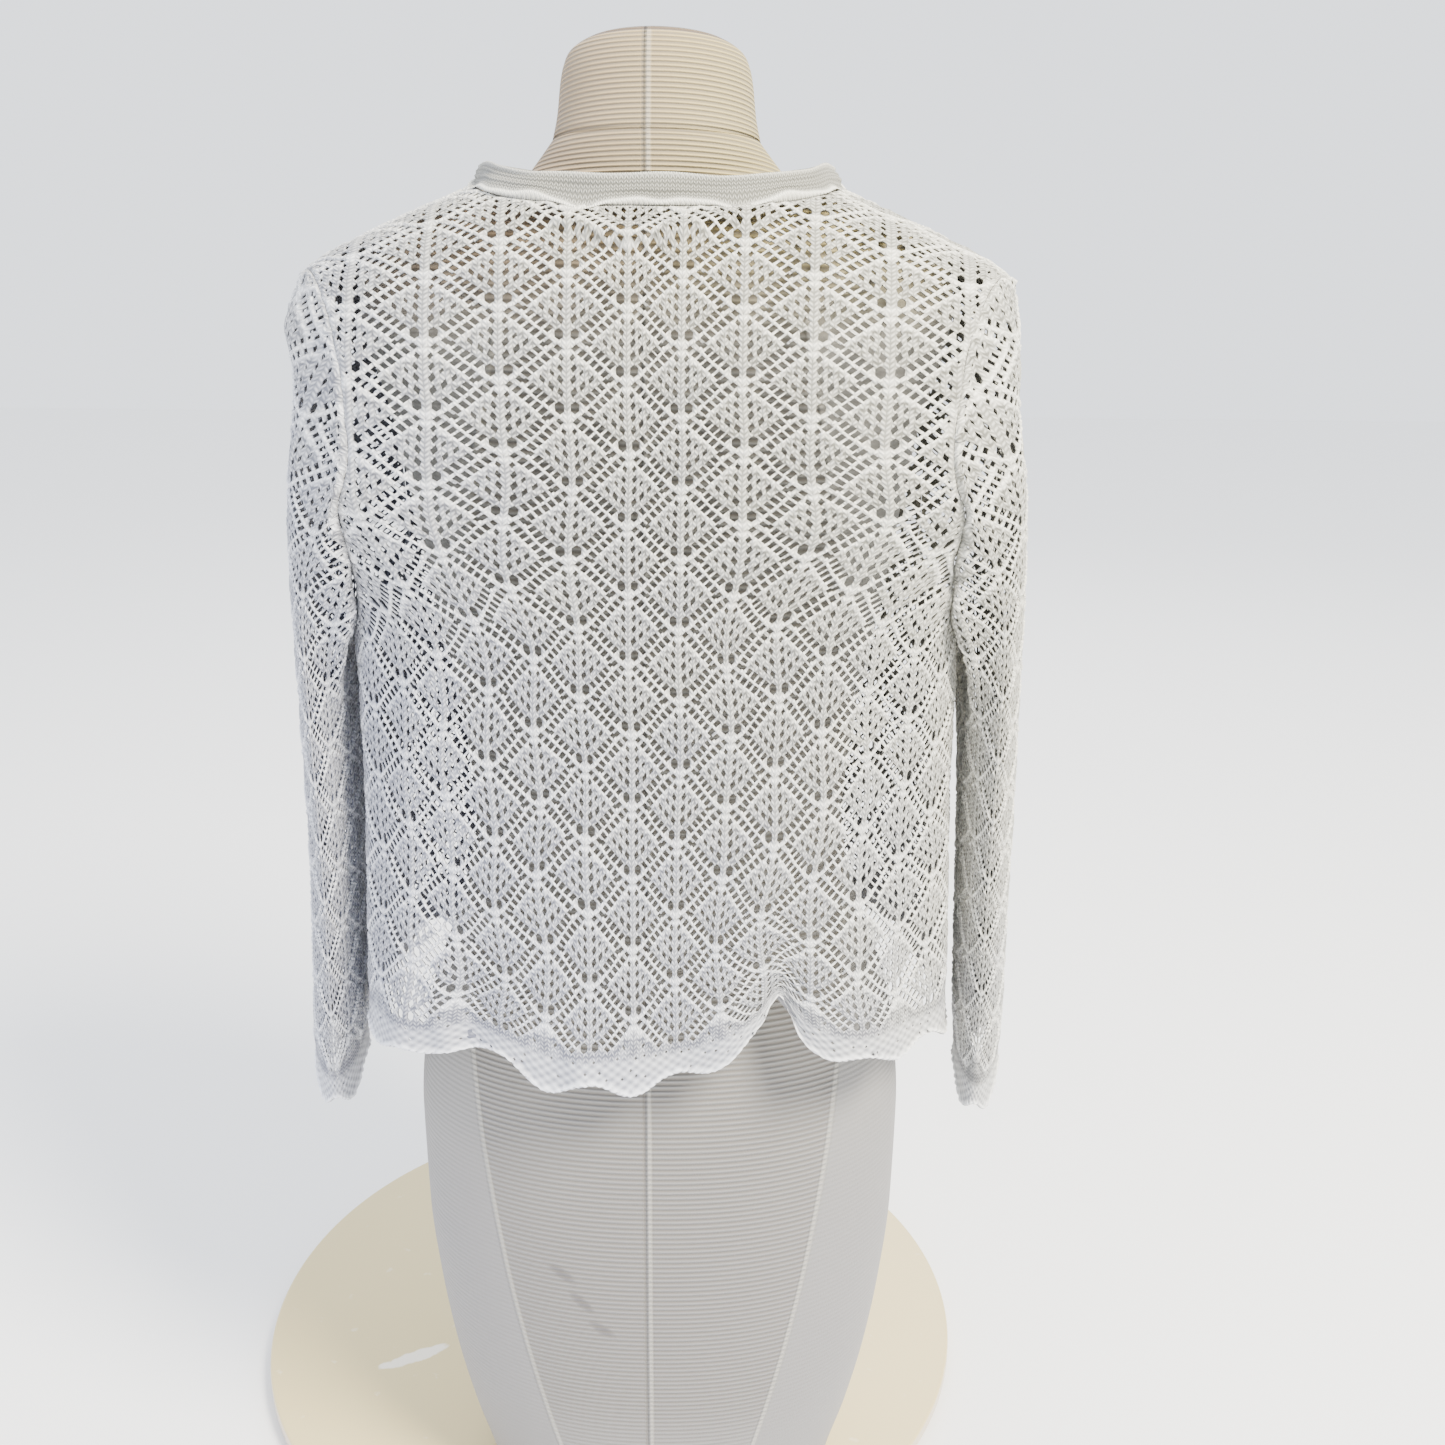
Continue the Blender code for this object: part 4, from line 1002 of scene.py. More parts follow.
def rim_edges(triangles):
    """Edges with a triangle on one side only."""
    edges = np.concatenate([triangles[:, (0, 1)], triangles[:, (1, 2)], triangles[:, (2, 0)]])
    big = int(triangles.max()) + 1
    key = edges[:, 0].astype(np.int64) * big + edges[:, 1]
    back = edges[:, 1].astype(np.int64) * big + edges[:, 0]
    return edges[~np.isin(key, back)]


def lace_sheet(name, outline, hem_count, place, phase=(0.0, 0.0), flip=False, weld=False):
    """Thin knitted sheet with all its eyelets, over an outline in wales and courses."""
    holes = evened(eyelets(outline, phase), place)
    extra = yarn_points(outline, holes, outline[:hem_count], phase)
    front, faces = triangulate(outline, holes, extra)
    faces = drop_holes(front, faces, outline, holes)
    rear, rear_faces = triangulate(outline, holes, np.zeros((0, 2)))
    rear_faces = drop_holes(rear, rear_faces, outline, holes)
    rim = rim_edges(faces)
    used = np.unique(rim)
    index = {(round(x, 4), round(y, 4)): n for n, (x, y) in enumerate(rear.tolist())}
    pair = {int(n): index[(round(front[n][0], 4), round(front[n][1], 4))] for n in used}
    cord, swell = relief(front[:, 0], front[:, 1], phase)
    raised = -SKIN + cord + swell
    raised[used] = -SKIN - 0.00015 + 0.5 * cord[used] + swell[used]
    hem = np.array(outline[:hem_count])
    to_hem = front[:, 1] - np.interp(front[:, 0], hem[:, 0], hem[:, 1])
    roll = bulge(to_hem, HEM_ROLL) * (front[:, 1] < MOSS_TOP)
    moss = MOSS_STAND * np.cos(front[:, 0] * math.pi) * np.cos(front[:, 1] * math.pi)
    moss *= ramp(front[:, 1], MOSS_TOP, MOSS_TOP - 2.0)
    raised += roll + moss
    _, under = relief(rear[:, 0], rear[:, 1], phase)
    sunk = -SKIN - SHEET + under
    outer = place(front[:, 0], front[:, 1], raised)
    inner = place(rear[:, 0], rear[:, 1], sunk)
    count = len(front)
    walls = np.array([(b, a, count + pair[int(a)], count + pair[int(b)]) for a, b in rim])
    rear_flip = rear_faces[:, ::-1] + count
    if flip:
        faces, rear_flip, walls = faces[:, ::-1], rear_flip[:, ::-1], walls[:, ::-1]
    vertices = np.concatenate([outer, inner])
    knit = np.concatenate([front, rear])
    # yarn tone: the sheet's inside is dark as painted shade, so the eyelets' walls darken inwards
    yarn = np.full(len(vertices), 0.10)
    plain = 0.13 + 0.32 * np.clip((BORDER_TOP - front[:, 1]) / 3.0, 0.0, 1.0)
    # the proud cords and hem roll are lighter as painted highlight, partly also for their denser yarn
    yarn[:count] = np.clip(plain + 0.58 * (cord + roll * 0.6) / 0.0010, 0.0, 1.0)
    yarn[used] = 0.46 + 0.34 * cord[used] / 0.0010
    return cloth_mesh(name, vertices, [faces, rear_flip, walls], knit, yarn, weld)


def cloth_mesh(name, vertices, groups, knit, yarn, weld=False):
    """Mesh from triangle and quad groups with the knit coordinates as its UV map."""
    mesh = bpy.data.meshes.new(name)
    loops = np.concatenate([g.reshape(-1) for g in groups])
    sizes = np.concatenate([np.full(len(g), g.shape[1]) for g in groups])
    starts = np.concatenate(([0], np.cumsum(sizes)[:-1]))
    mesh.vertices.add(len(vertices))
    mesh.vertices.foreach_set("co", vertices.astype(np.float32).ravel())
    mesh.loops.add(len(loops))
    mesh.loops.foreach_set("vertex_index", loops.astype(np.int32))
    mesh.polygons.add(len(sizes))
    mesh.polygons.foreach_set("loop_start", starts.astype(np.int32))
    mesh.update(calc_edges=True)
    uv = mesh.uv_layers.new(name="UVMap")
    uv.data.foreach_set("uv", (knit[loops] / UV_SCALE).astype(np.float32).ravel())
    # the yarn attribute: painted light and shade of the yarn, or the neck's dark rim
    painted_light_and_rim_tone = mesh.attributes.new("yarn", "FLOAT", "POINT")
    painted_light_and_rim_tone.data.foreach_set("value", yarn.astype(np.float32))
    mesh.validate()
    mesh.shade_smooth()
    thing = bpy.data.objects.new(name, mesh)
    bpy.context.scene.collection.objects.link(thing)
    if weld:
        work = bmesh.new()
        work.from_mesh(mesh)
        bmesh.ops.remove_doubles(work, verts=work.verts, dist=0.00002)
        work.to_mesh(mesh)
        work.free()
    return thing


def wander(wale, course):
    """Hand-knit unevenness: how far stitches stray inside a panel, none at its edges."""
    limit = np.interp(course, [40.0, 92.0], [SIDE_WALE, 33.0])
    room = np.clip((limit - np.abs(wale) - 2.0) / 12.0, 0.0, 1.0)
    room *= ramp(course, 8.0, 20.0) * ramp(course, 142.0, 128.0)
    room = room * np.clip((np.abs(wale) - 7.0) / 6.0, 0.25, 1.0)
    aside = waves(STRAY_ASIDE, wale, course)
    up = waves(STRAY_UP, wale, course)
    return wale + aside * room, course + up * room


def panel_place(drape):
    """Function that sets knit places of a panel in the world."""

    def place(wale, course, offset):
        at = np.empty((len(wale), 3))
        for start in range(0, len(wale), 20000):
            part = slice(start, start + 20000)
            at[part] = drape.place(*wander(wale[part], course[part]), offset[part])
        return at + FORM_AT

    return place


def armhole_ring(count):
    """Seam points from the shoulder tip down the back, under the arm and up the front."""
    rings = []
    for drape in (BACK, FRONT):
        edge = armhole_edge(drape, count + 1)[::-1]
        at = drape.creased(edge[:, 0], edge[:, 1])
        out = drape.slope(drape.creased, edge[:, 0], edge[:, 1])
        at[:, 1] = drape.side * np.maximum(drape.side * at[:, 1], SEAM_GAP / 2)
        beyond = drape.outer(edge[:, 0] + 0.4, edge[:, 1]) - drape.outer(edge[:, 0] - 0.4, edge[:, 1])
        away = np.cross(unit(np.gradient(at, axis=0)), out)
        away *= np.sign((away * beyond).sum(axis=1, keepdims=True))
        rings.append((at, out, unit(away)))
    return [np.concatenate([back, front[-2:0:-1]]) for back, front in zip(*rings)]


class Sleeve:
    """Surface of a hanging sleeve in wales round it and courses up from its cuff."""

    def __init__(self, hand):
        self.hand = hand
        at, out, away = armhole_ring(ARMHOLE_POINTS)
        count = len(at)
        turn = np.arange(count) * 2.0 * math.pi / count
        self.turn = np.append(turn, 2.0 * math.pi)
        down = 0.5 - 0.5 * np.cos(turn)
        share = ramp(down, 0.25, 1.0)
        bend = (math.pi * share * share * (3.0 - 2.0 * share))[:, None]
        seam = at + SEAM_GAP * (away * np.cos(bend / 2) + out * np.sin(bend / 2))
        lead = seam + SLEEVE_LEAD * (away * np.cos(bend) + out * np.sin(bend))
        lead += SLEEVE_STAND * out * share[:, None]
        self.seam, self.lead, self.out = (self.closed(a) for a in (seam, lead, out))
        self.share = self.closed(share[:, None])

    def closed(self, ring):
        """A ring with its first point again at its end."""
        return np.concatenate([ring, ring[:1]])

    def read(self, ring, turn):
        """Values of a ring at any turn round the sleeve."""
        return np.stack([np.interp(turn, self.turn, ring[:, k]) for k in range(ring.shape[1])], axis=-1)

    def cuff(self, turn):
        """Height of the cuff round the sleeve."""
        return CUFF_HEIGHT + CUFF_POINT * (0.5 - 0.5 * np.cos(2.0 * turn))

    def top(self, wale):
        """Course of the sleeve's first free row below the seam."""
        turn = self.turn_of(wale)
        return (self.read(self.lead, turn)[..., 2] - self.cuff(turn)) / SLEEVE_STEP

    def turn_of(self, wale):
        """Turn round the sleeve of a wale, from the outer side."""
        return np.mod(wale / SLEEVE_WALES * 2.0 * math.pi, 2.0 * math.pi)

    def section(self, z, turn):
        """Points of the limp tube at a height."""
        outer = smooth(SLEEVE_SECTIONS, "z", "outer_" + self.hand)(z)
        near = smooth(SLEEVE_SECTIONS, "z", "inner")(z)
        breadth = smooth(SLEEVE_SECTIONS, "z", "breadth")(z)
        middle = smooth(SLEEVE_SECTIONS, "z", "middle")(z)
        lean = smooth(SLEEVE_SECTIONS, "z", "lean")(z)
        y = middle - breadth * np.sin(turn)
        x = 0.5 * (outer + near) + 0.5 * (outer - near) * np.cos(turn) + lean * y
        return np.stack([x, y, z], axis=-1)

    def crease(self, z, turn):
        """How far the soft creases push the sleeve outwards."""
        total = np.zeros_like(z)
        for r in rows(SLEEVE_CREASES):
            if r["hand"] == self.hand:
                rise = (z - r["z"]) / r["reach"]
                middle = math.radians(r["turn"]) + math.radians(r["twist"]) * rise
                off = np.mod(turn - middle + math.pi, 2.0 * math.pi) - math.pi
                fade = np.clip(1.0 - rise * rise, 0.0, 1.0) ** 1.5
                total += r["depth"] * fade * bell(off, 0.0, math.radians(r["width"]))
        return total

    def surface(self, wale, course):
        """The sleeve's surface, drawn in to the armhole seam at its top."""
        turn = self.turn_of(wale)
        lead = self.read(self.lead, turn)
        seam = self.read(self.seam, turn)
        out = self.read(self.out, turn)
        share = self.read(self.share, turn)[..., 0]
        z = np.minimum(self.cuff(turn) + course * SLEEVE_STEP, lead[..., 2])
        drop = np.maximum(lead[..., 2] - z, 0.0)
        reach = SETTLE_SIDE + (SETTLE_CAP - SETTLE_SIDE) * np.clip(np.cos(turn), 0.0, 1.0) ** 2
        settle = (1.0 - np.exp(-(drop / reach) ** 1.5))[..., None]
        puff = SLEEVE_PUFF * drop / PUFF_DROP * np.exp(1.0 - drop / PUFF_DROP) * share
        row = lead * (1.0 - settle) + self.section(z, turn) * settle + out * puff[..., None]
        away = np.stack([np.cos(turn), -np.sin(turn) * 0.35, np.zeros_like(z)], axis=-1)
        row = row + away * (self.crease(z, turn) * settle[..., 0])[..., None]
        row[..., 2] = z
        over = np.clip((course * SLEEVE_STEP + self.cuff(turn) - lead[..., 2]) / SLEEVE_LEAD, 0.0, 1.0)
        return row * (1.0 - over[..., None]) + seam * over[..., None]

    def place(self, wale, course, offset):
        """Points at an offset out of the sleeve's surface, in the world."""
        d = 0.4
        at = self.surface(wale, course)
        ceiling = self.top(wale) + SLEEVE_LEAD / SLEEVE_STEP
        high = np.minimum(course + d, ceiling)
        across = self.surface(wale + d, course) - self.surface(wale - d, course)
        up = self.surface(wale, high) - self.surface(wale, high - 2.0 * d)
        at = at - unit(np.cross(across, up)) * offset[..., None]
        flip = np.array([-1.0 if self.hand == "left" else 1.0, 1.0, 1.0])
        return at * flip + FORM_AT


def sleeve_outline(sleeve):
    """Flat outline of a sleeve, opened along the line under the arm."""
    half = SLEEVE_WALES / 2.0
    cuff = np.linspace(-half, half, int(SLEEVE_WALES * 2) + 1)
    dip = np.cos((cuff - FIRST_COLUMN) * 2.0 * math.pi / LEAF)
    low = np.stack([cuff, -HEM_SCALLOP * dip + 0.10 * np.cos(cuff * 2.0 * math.pi)], axis=1)
    top_wales = np.linspace(half, -half, 2 * ARMHOLE_POINTS + 1)
    top = np.stack([top_wales, sleeve.top(top_wales) + SLEEVE_LEAD / SLEEVE_STEP], axis=1)
    rise = np.linspace(low[-1][1], top[0][1], 136)[1:-1]
    right = np.stack([np.full_like(rise, half), rise], axis=1)
    left = right[::-1] * np.array([-1.0, 1.0])
    return np.concatenate([low, right, top, left]), len(low)


def ring_mesh(name, rings, rim=0):
    """Closed mesh from a stack of rings, the topmost ones marked as its rim."""
    rings = np.asarray(rings)
    levels, count = rings.shape[:2]
    vertices = rings.reshape(-1, 3)
    i = np.arange(count)
    j = (i + 1) % count
    quads = [np.stack([r * count + i, r * count + j, (r + 1) * count + j, (r + 1) * count + i], axis=1)
             for r in range(levels - 1)]
    ends = np.array([rings[0].mean(axis=0), rings[-1].mean(axis=0)])
    low = levels * count
    last = (levels - 1) * count
    fan = [np.stack([np.full(count, low), j, i], axis=1),
           np.stack([np.full(count, low + 1), last + i, last + j], axis=1)]
    vertices = np.concatenate([vertices, ends])
    centre = vertices.mean(axis=0)
    quads = np.concatenate(quads)
    a, b, c = (vertices[quads[:, n]] for n in range(3))
    if (np.cross(b - a, c - b) * (a - centre)).sum() < 0.0:
        quads = quads[:, ::-1]
        fan = [f[:, ::-1] for f in fan]
    yarn = np.zeros(len(vertices))
    if rim:
        yarn[(levels - rim) * count:] = 1.0
    return cloth_mesh(name, vertices, [quads] + fan, vertices[:, (0, 2)] * 10.0, yarn)


def form_rings():
    """Fine rings of the dress form's body, from the base to the neck seam."""
    turn = np.arange(160) * 2.0 * math.pi / 160
    heights = np.concatenate([np.arange(BASE_THICKNESS + SEAM_GAP, 0.86, 0.008),
                              np.linspace(0.862, 0.984, 40)])
    rings = []
    for z in heights:
        half, back, front, square = (float(smooth(FORM_SECTIONS, "z", n)(z))
                                     for n in ("half", "back", "front", "square"))
        x = half * np.sign(np.sin(turn)) * np.abs(np.sin(turn)) ** (2.0 / square)
        c = np.cos(turn)
        y = np.where(c > 0, front, back) * np.sign(c) * np.abs(c) ** (2.0 / square)
        rings.append(np.stack([FORM_X + x, FORM_Y + y, np.full_like(x, z)], axis=1))
    top = neck_ring(NECK_RINGS[1][0], 160) - np.array([0.0, 0.0, SEAM_GAP])
    last = rings[-1]
    for t in (0.25, 0.5, 0.75, 1.0):
        rings.append(last * (1.0 - t) + top * t)
    return rings


def neck_ring(z, columns):
    """Leaning ring of the neck whose middle is at a given height."""
    half, depth, lean, shift = (float(smooth(NECK_RINGS, "z", n)(z))
                                for n in ("half", "depth", "lean", "shift"))
    lean = math.radians(lean)
    turn = np.arange(columns) * 2.0 * math.pi / columns
    x = half * np.sin(turn)
    y = depth * np.cos(turn)
    return np.stack([FORM_X + x, FORM_Y + shift + y * math.cos(lean), z - y * math.sin(lean)], axis=1)


def neck_band_mesh():
    """Plain fine-knit band round the neck with its lower edge rolled outwards."""
    half_back = back_neck_edge(0.5)[::-1]
    half_front = front_neck_edge(0.5)
    right = []
    for drape, edge in ((BACK, half_back), (FRONT, half_front)):
        out = drape.slope(drape.outer, np.maximum(edge[:, 0], 0.5), edge[:, 1])
        right.append((drape.outer(edge[:, 0], edge[:, 1]), out))
    points = np.concatenate([right[0][0], right[1][0][1:]])
    outward = np.concatenate([right[0][1], right[1][1][1:]])
    mirror = np.array([-1.0, 1.0, 1.0])
    points = np.concatenate([points[:0:-1] * mirror, points])
    outward = np.concatenate([outward[:0:-1] * mirror, outward])
    run = unit(np.gradient(points, axis=0))
    up = unit(np.cross(outward, run))
    rise = unit(up + np.array([0.0, 0.0, 1.0]) * np.clip(outward[:, 2:3], 0.0, 1.0) * BAND_LIFT)
    face = np.cross(run, rise)
    face *= np.sign((face * outward).sum(axis=1, keepdims=True))
    length = lengths_along(points)
    wave = waves(BAND_WAVES, length)
    low_side = 0.26 * (1.0 - np.clip(np.abs(outward[:, 1:2]) / 0.55, 0.0, 1.0)) ** 1.5
    tall = rise * BAND_HEIGHT * (1.0 - low_side)
    low = points + up * 0.0004
    lip_wave = waves(BAND_LIP_WAVES, length)
    heights = np.linspace(0.0, 1.0, 21)
    outer, inner = [], []
    for t in heights:
        ease = min(t / 0.05, 1.0)
        arch = math.sin(math.pi * t)
        ridge = 0.00045 * math.cos(math.pi * 2.0 * BAND_RIDGES * t) * arch
        sway = wave * bell(t, 0.10, 0.30) * ease
        swell = waves(BAND_SWELL, length, t) * arch
        stand = bulge(t, BAND_ROLL) + ridge + bulge(t, BAND_LIP) + bulge(t, BAND_FOOT) - SKIN
        at = low + tall * t + face * (stand + swell[:, None])
        lift = lip_wave * t ** 3 + sway - 0.0008 * bell(t, 0.08, 0.08)
        outer.append(at + rise * lift[:, None] * ease)
        inner.append(low + tall * t - face * BAND_BACK)
    outer, inner = np.array(outer), np.array(inner)
    levels, columns = outer.shape[:2]
    count = levels * columns
    grid = np.arange(count).reshape(levels, columns)
    quads = np.stack([grid[:-1, :-1], grid[:-1, 1:], grid[1:, 1:], grid[1:, :-1]], axis=-1)
    quads = quads.reshape(-1, 4)
    ring = np.concatenate([grid[0, :], grid[1:, -1], grid[-1, -2::-1], grid[-2:0:-1, 0]])
    after = np.roll(ring, -1)
    walls = np.stack([after, ring, ring + count, after + count], axis=1)
    vertices = np.concatenate([outer.reshape(-1, 3), inner.reshape(-1, 3)])
    vertices = vertices + FORM_AT
    a, b, c = (vertices[quads[:, n]] for n in range(3))
    side = np.cross(b - a, c - b)
    facing = (side * np.repeat(face[None, :-1], levels - 1, axis=0).reshape(-1, 3)).sum()
    rear = quads[:, ::-1] + count
    if facing < 0.0:
        quads, rear, walls = quads[:, ::-1], rear[:, ::-1], walls[:, ::-1]
    knit = np.stack([np.tile(length / BAND_STITCH, levels), np.repeat(heights * 8.0, columns)], axis=1)
    # band tone as painted light: its rolled edge and lip lighter as painted highlight, its face darker
    # as painted shade
    rim = bell(heights, 0.10, 0.075) + 0.5 * bell(heights, 0.95, 0.05)
    tone = np.repeat(np.clip(0.12 + 0.80 * rim, 0.0, 1.0), columns).reshape(levels, columns)
    # painted light: the band is lighter wherever it does not face back, as at its ends over the
    # shoulders
    facing_back = np.clip(-outward[:, 1], 0.0, 1.0) ** 4
    tone = (tone + 0.20 * (1.0 - facing_back)).ravel()
    # the band's inside is dark as painted shade
    return cloth_mesh("neck_band_knit", vertices, [quads, rear, walls], np.concatenate([knit, knit]),
                      np.concatenate([tone, np.full(count, 0.2)]))


def base_rings():
    """Rings of the base disc, from its underside to the round of its upper edge."""
    turn = np.arange(192) * 2.0 * math.pi / 192
    profile = [(BASE_RADIUS - 0.022, 0.0), (BASE_RADIUS, 0.008)]
    for a in np.linspace(0.0, math.pi / 2, 6):
        profile.append((BASE_RADIUS - BASE_EDGE_ROUND * (1.0 - math.cos(a)),
                        BASE_THICKNESS - BASE_EDGE_ROUND * (1.0 - math.sin(a))))
    return [np.stack([r * np.cos(turn), r * np.sin(turn), np.full_like(turn, z)], axis=1)
            for r, z in profile]


class Value:
    """A shader value; its arithmetic makes the maths nodes."""

    def __init__(self, nodes, socket):
        self.nodes = nodes
        self.socket = socket

    def __add__(self, other):
        return self.nodes.math("ADD", self, other)

    def __sub__(self, other):
        return self.nodes.math("SUBTRACT", self, other)

    def __rsub__(self, other):
        return self.nodes.math("SUBTRACT", other, self)

    def __mul__(self, other):
        return self.nodes.math("MULTIPLY", self, other)

    def __truediv__(self, other):
        return self.nodes.math("DIVIDE", self, other)

    def __pow__(self, other):
        return self.nodes.math("POWER", self, other)

    def __abs__(self):
        return self.nodes.math("ABSOLUTE", self)


class Nodes:
    """Short way to write a shader's nodes."""

    def __init__(self, name):
        self.material = bpy.data.materials.new(name)
        self.material.use_nodes = True
        self.tree = self.material.node_tree
        self.shader = self.tree.nodes["Principled BSDF"]

    def add(self, kind, **values):
        """A new node with its settings."""
        node = self.tree.nodes.new(kind)
        for name, value in values.items():
            setattr(node, name, value)
        return node

    def feed(self, socket, value):
        """Links a value into a socket, or sets a constant on it."""
        if isinstance(value, Value):
            self.tree.links.new(value.socket, socket)
        else:
            socket.default_value = value

    def finish(self, **inputs):
        """Sets the shader's inputs, named with low lines for spaces, and gives the material."""
        for name, value in inputs.items():
            self.feed(self.shader.inputs[name.replace("_", " ")], value)
        return self.material

    def math(self, operation, a, b=0.0, clamp=False):
        """One maths node."""
        node = self.add("ShaderNodeMath", operation=operation, use_clamp=clamp)
        self.feed(node.inputs[0], a)
        self.feed(node.inputs[1], b)
        return Value(self, node.outputs[0])

    def sine(self, a):
        """Sine of a value."""
        return self.math("SINE", a)

    def mix(self, share, a, b):
        """Colour between a and b."""
        node = self.add("ShaderNodeMix", data_type="RGBA")
        self.feed(node.inputs["Factor"], share)
        self.feed(node.inputs[6], a if isinstance(a, Value) else (*a, 1.0))
        self.feed(node.inputs[7], b if isinstance(b, Value) else (*b, 1.0))
        return Value(self, node.outputs[2])

    def blend(self, share, a, b):
        """Number between a and b."""
        node = self.add("ShaderNodeMix", data_type="FLOAT")
        self.feed(node.inputs["Factor"], share)
        self.feed(node.inputs[2], a)
        self.feed(node.inputs[3], b)
        return Value(self, node.outputs[0])

    def noise(self, scale, detail, place):
        """Cloudy noise from 0 to 1."""
        node = self.add("ShaderNodeTexNoise")
        node.inputs["Scale"].default_value = scale
        node.inputs["Detail"].default_value = detail
        self.feed(node.inputs["Vector"], place)
        return Value(self, node.outputs["Fac"])

    def band(self, value, low, high):
        """0 below low, 1 above high, smooth between them."""
        node = self.add("ShaderNodeMapRange", interpolation_type="SMOOTHSTEP")
        self.feed(node.inputs["Value"], value)
        node.inputs["From Min"].default_value = low
        node.inputs["From Max"].default_value = high
        return Value(self, node.outputs["Result"])

    def bump(self, height, distance, strength):
        """Normal of a surface with fine relief."""
        node = self.add("ShaderNodeBump")
        node.inputs["Strength"].default_value = strength
        node.inputs["Distance"].default_value = distance
        self.feed(node.inputs["Height"], height)
        return Value(self, node.outputs["Normal"])

    def split(self, vector):
        """The three numbers of a vector."""
        node = self.add("ShaderNodeSeparateXYZ")
        self.feed(node.inputs[0], vector)
        return [Value(self, socket) for socket in node.outputs]

    def place(self):
        """World place of the shaded point."""
        return Value(self, self.add("ShaderNodeNewGeometry").outputs["Position"])

    def yarn(self):
        """The number that a piece's points carry: the yarn's painted light and shade, or the neck's rim.
        """
        return Value(self, self.add("ShaderNodeAttribute", attribute_name="yarn").outputs["Fac"])


def knit_material(name, colour, moss):
    """Yarn knitted in V-shaped stitches, which follow the wales and courses in the UV map, with painted
    light: a warm lit side, a cool shaded side and painted shade in the stitch gutters.
    """
    n = Nodes(name)
    u, v, _ = n.split(Value(n, n.add("ShaderNodeTexCoord").outputs["UV"]))
    wale, course = u * UV_SCALE, v * UV_SCALE
    centre = abs(n.math("FRACT", wale) - 0.5)
    leg = n.sine((course + centre * 1.5) * (2.0 * math.pi)) * 0.5 + 0.5
    stitch = leg * abs(n.sine(centre * (2.0 * math.pi))) ** 0.6
    if moss:
        purl = n.sine(wale * math.pi) * n.sine(course * math.pi) * 0.5 + 0.5
        stitch = n.blend(1.0 - n.band(course, 5.0, 8.0), stitch, purl)
    place = n.place()
    x, _, z = n.split(place)
    cloudy = n.noise(18.0, 3.0, place)
    normal = n.bump(stitch + n.noise(1500.0, 2.0, place) * 0.35, 0.0007, 0.85)
    # painted light: a cool tint for the yarn's shaded side and a warm tint for its lit side
    cool_shade_colour = [a * b for a, b in zip(colour, (0.94, 0.96, 1.05))]
    warm_lit_colour = [a * b for a, b in zip(colour, (1.02, 1.00, 0.90))]
    # share: painted shade in the stitch gutters, on the sheet's inside and down the eyelets' walls,
    # where the yarn attribute is low; painted highlight on the proud cords, partly also for their denser
    # yarn, where it is high
    share = n.math("ADD", stitch * 0.44 + cloudy * 0.16, n.yarn() * 1.30 - 0.50, clamp=True)
    # painted light: warm and lit towards the right and the top, cool and shaded towards the left and the
    # bottom
    side = n.band(x + (z - 0.72) * 0.7 + (cloudy - 0.5) * 0.3, -0.22, 0.26)
    # low: the yarn's painted shade colour, a darkened copy of its own
    low = n.mix(side, [a * b for a, b in zip(cool_shade_colour, (0.15, 0.155, 0.19))],
                [a * b for a, b in zip(warm_lit_colour, (0.17, 0.17, 0.16))])
    return n.finish(Base_Color=n.mix(share, low, n.mix(side, cool_shade_colour, warm_lit_colour)), Normal=normal, Roughness=0.82,
                    Specular_IOR_Level=0.25, Sheen_Weight=0.18, Sheen_Roughness=0.45)


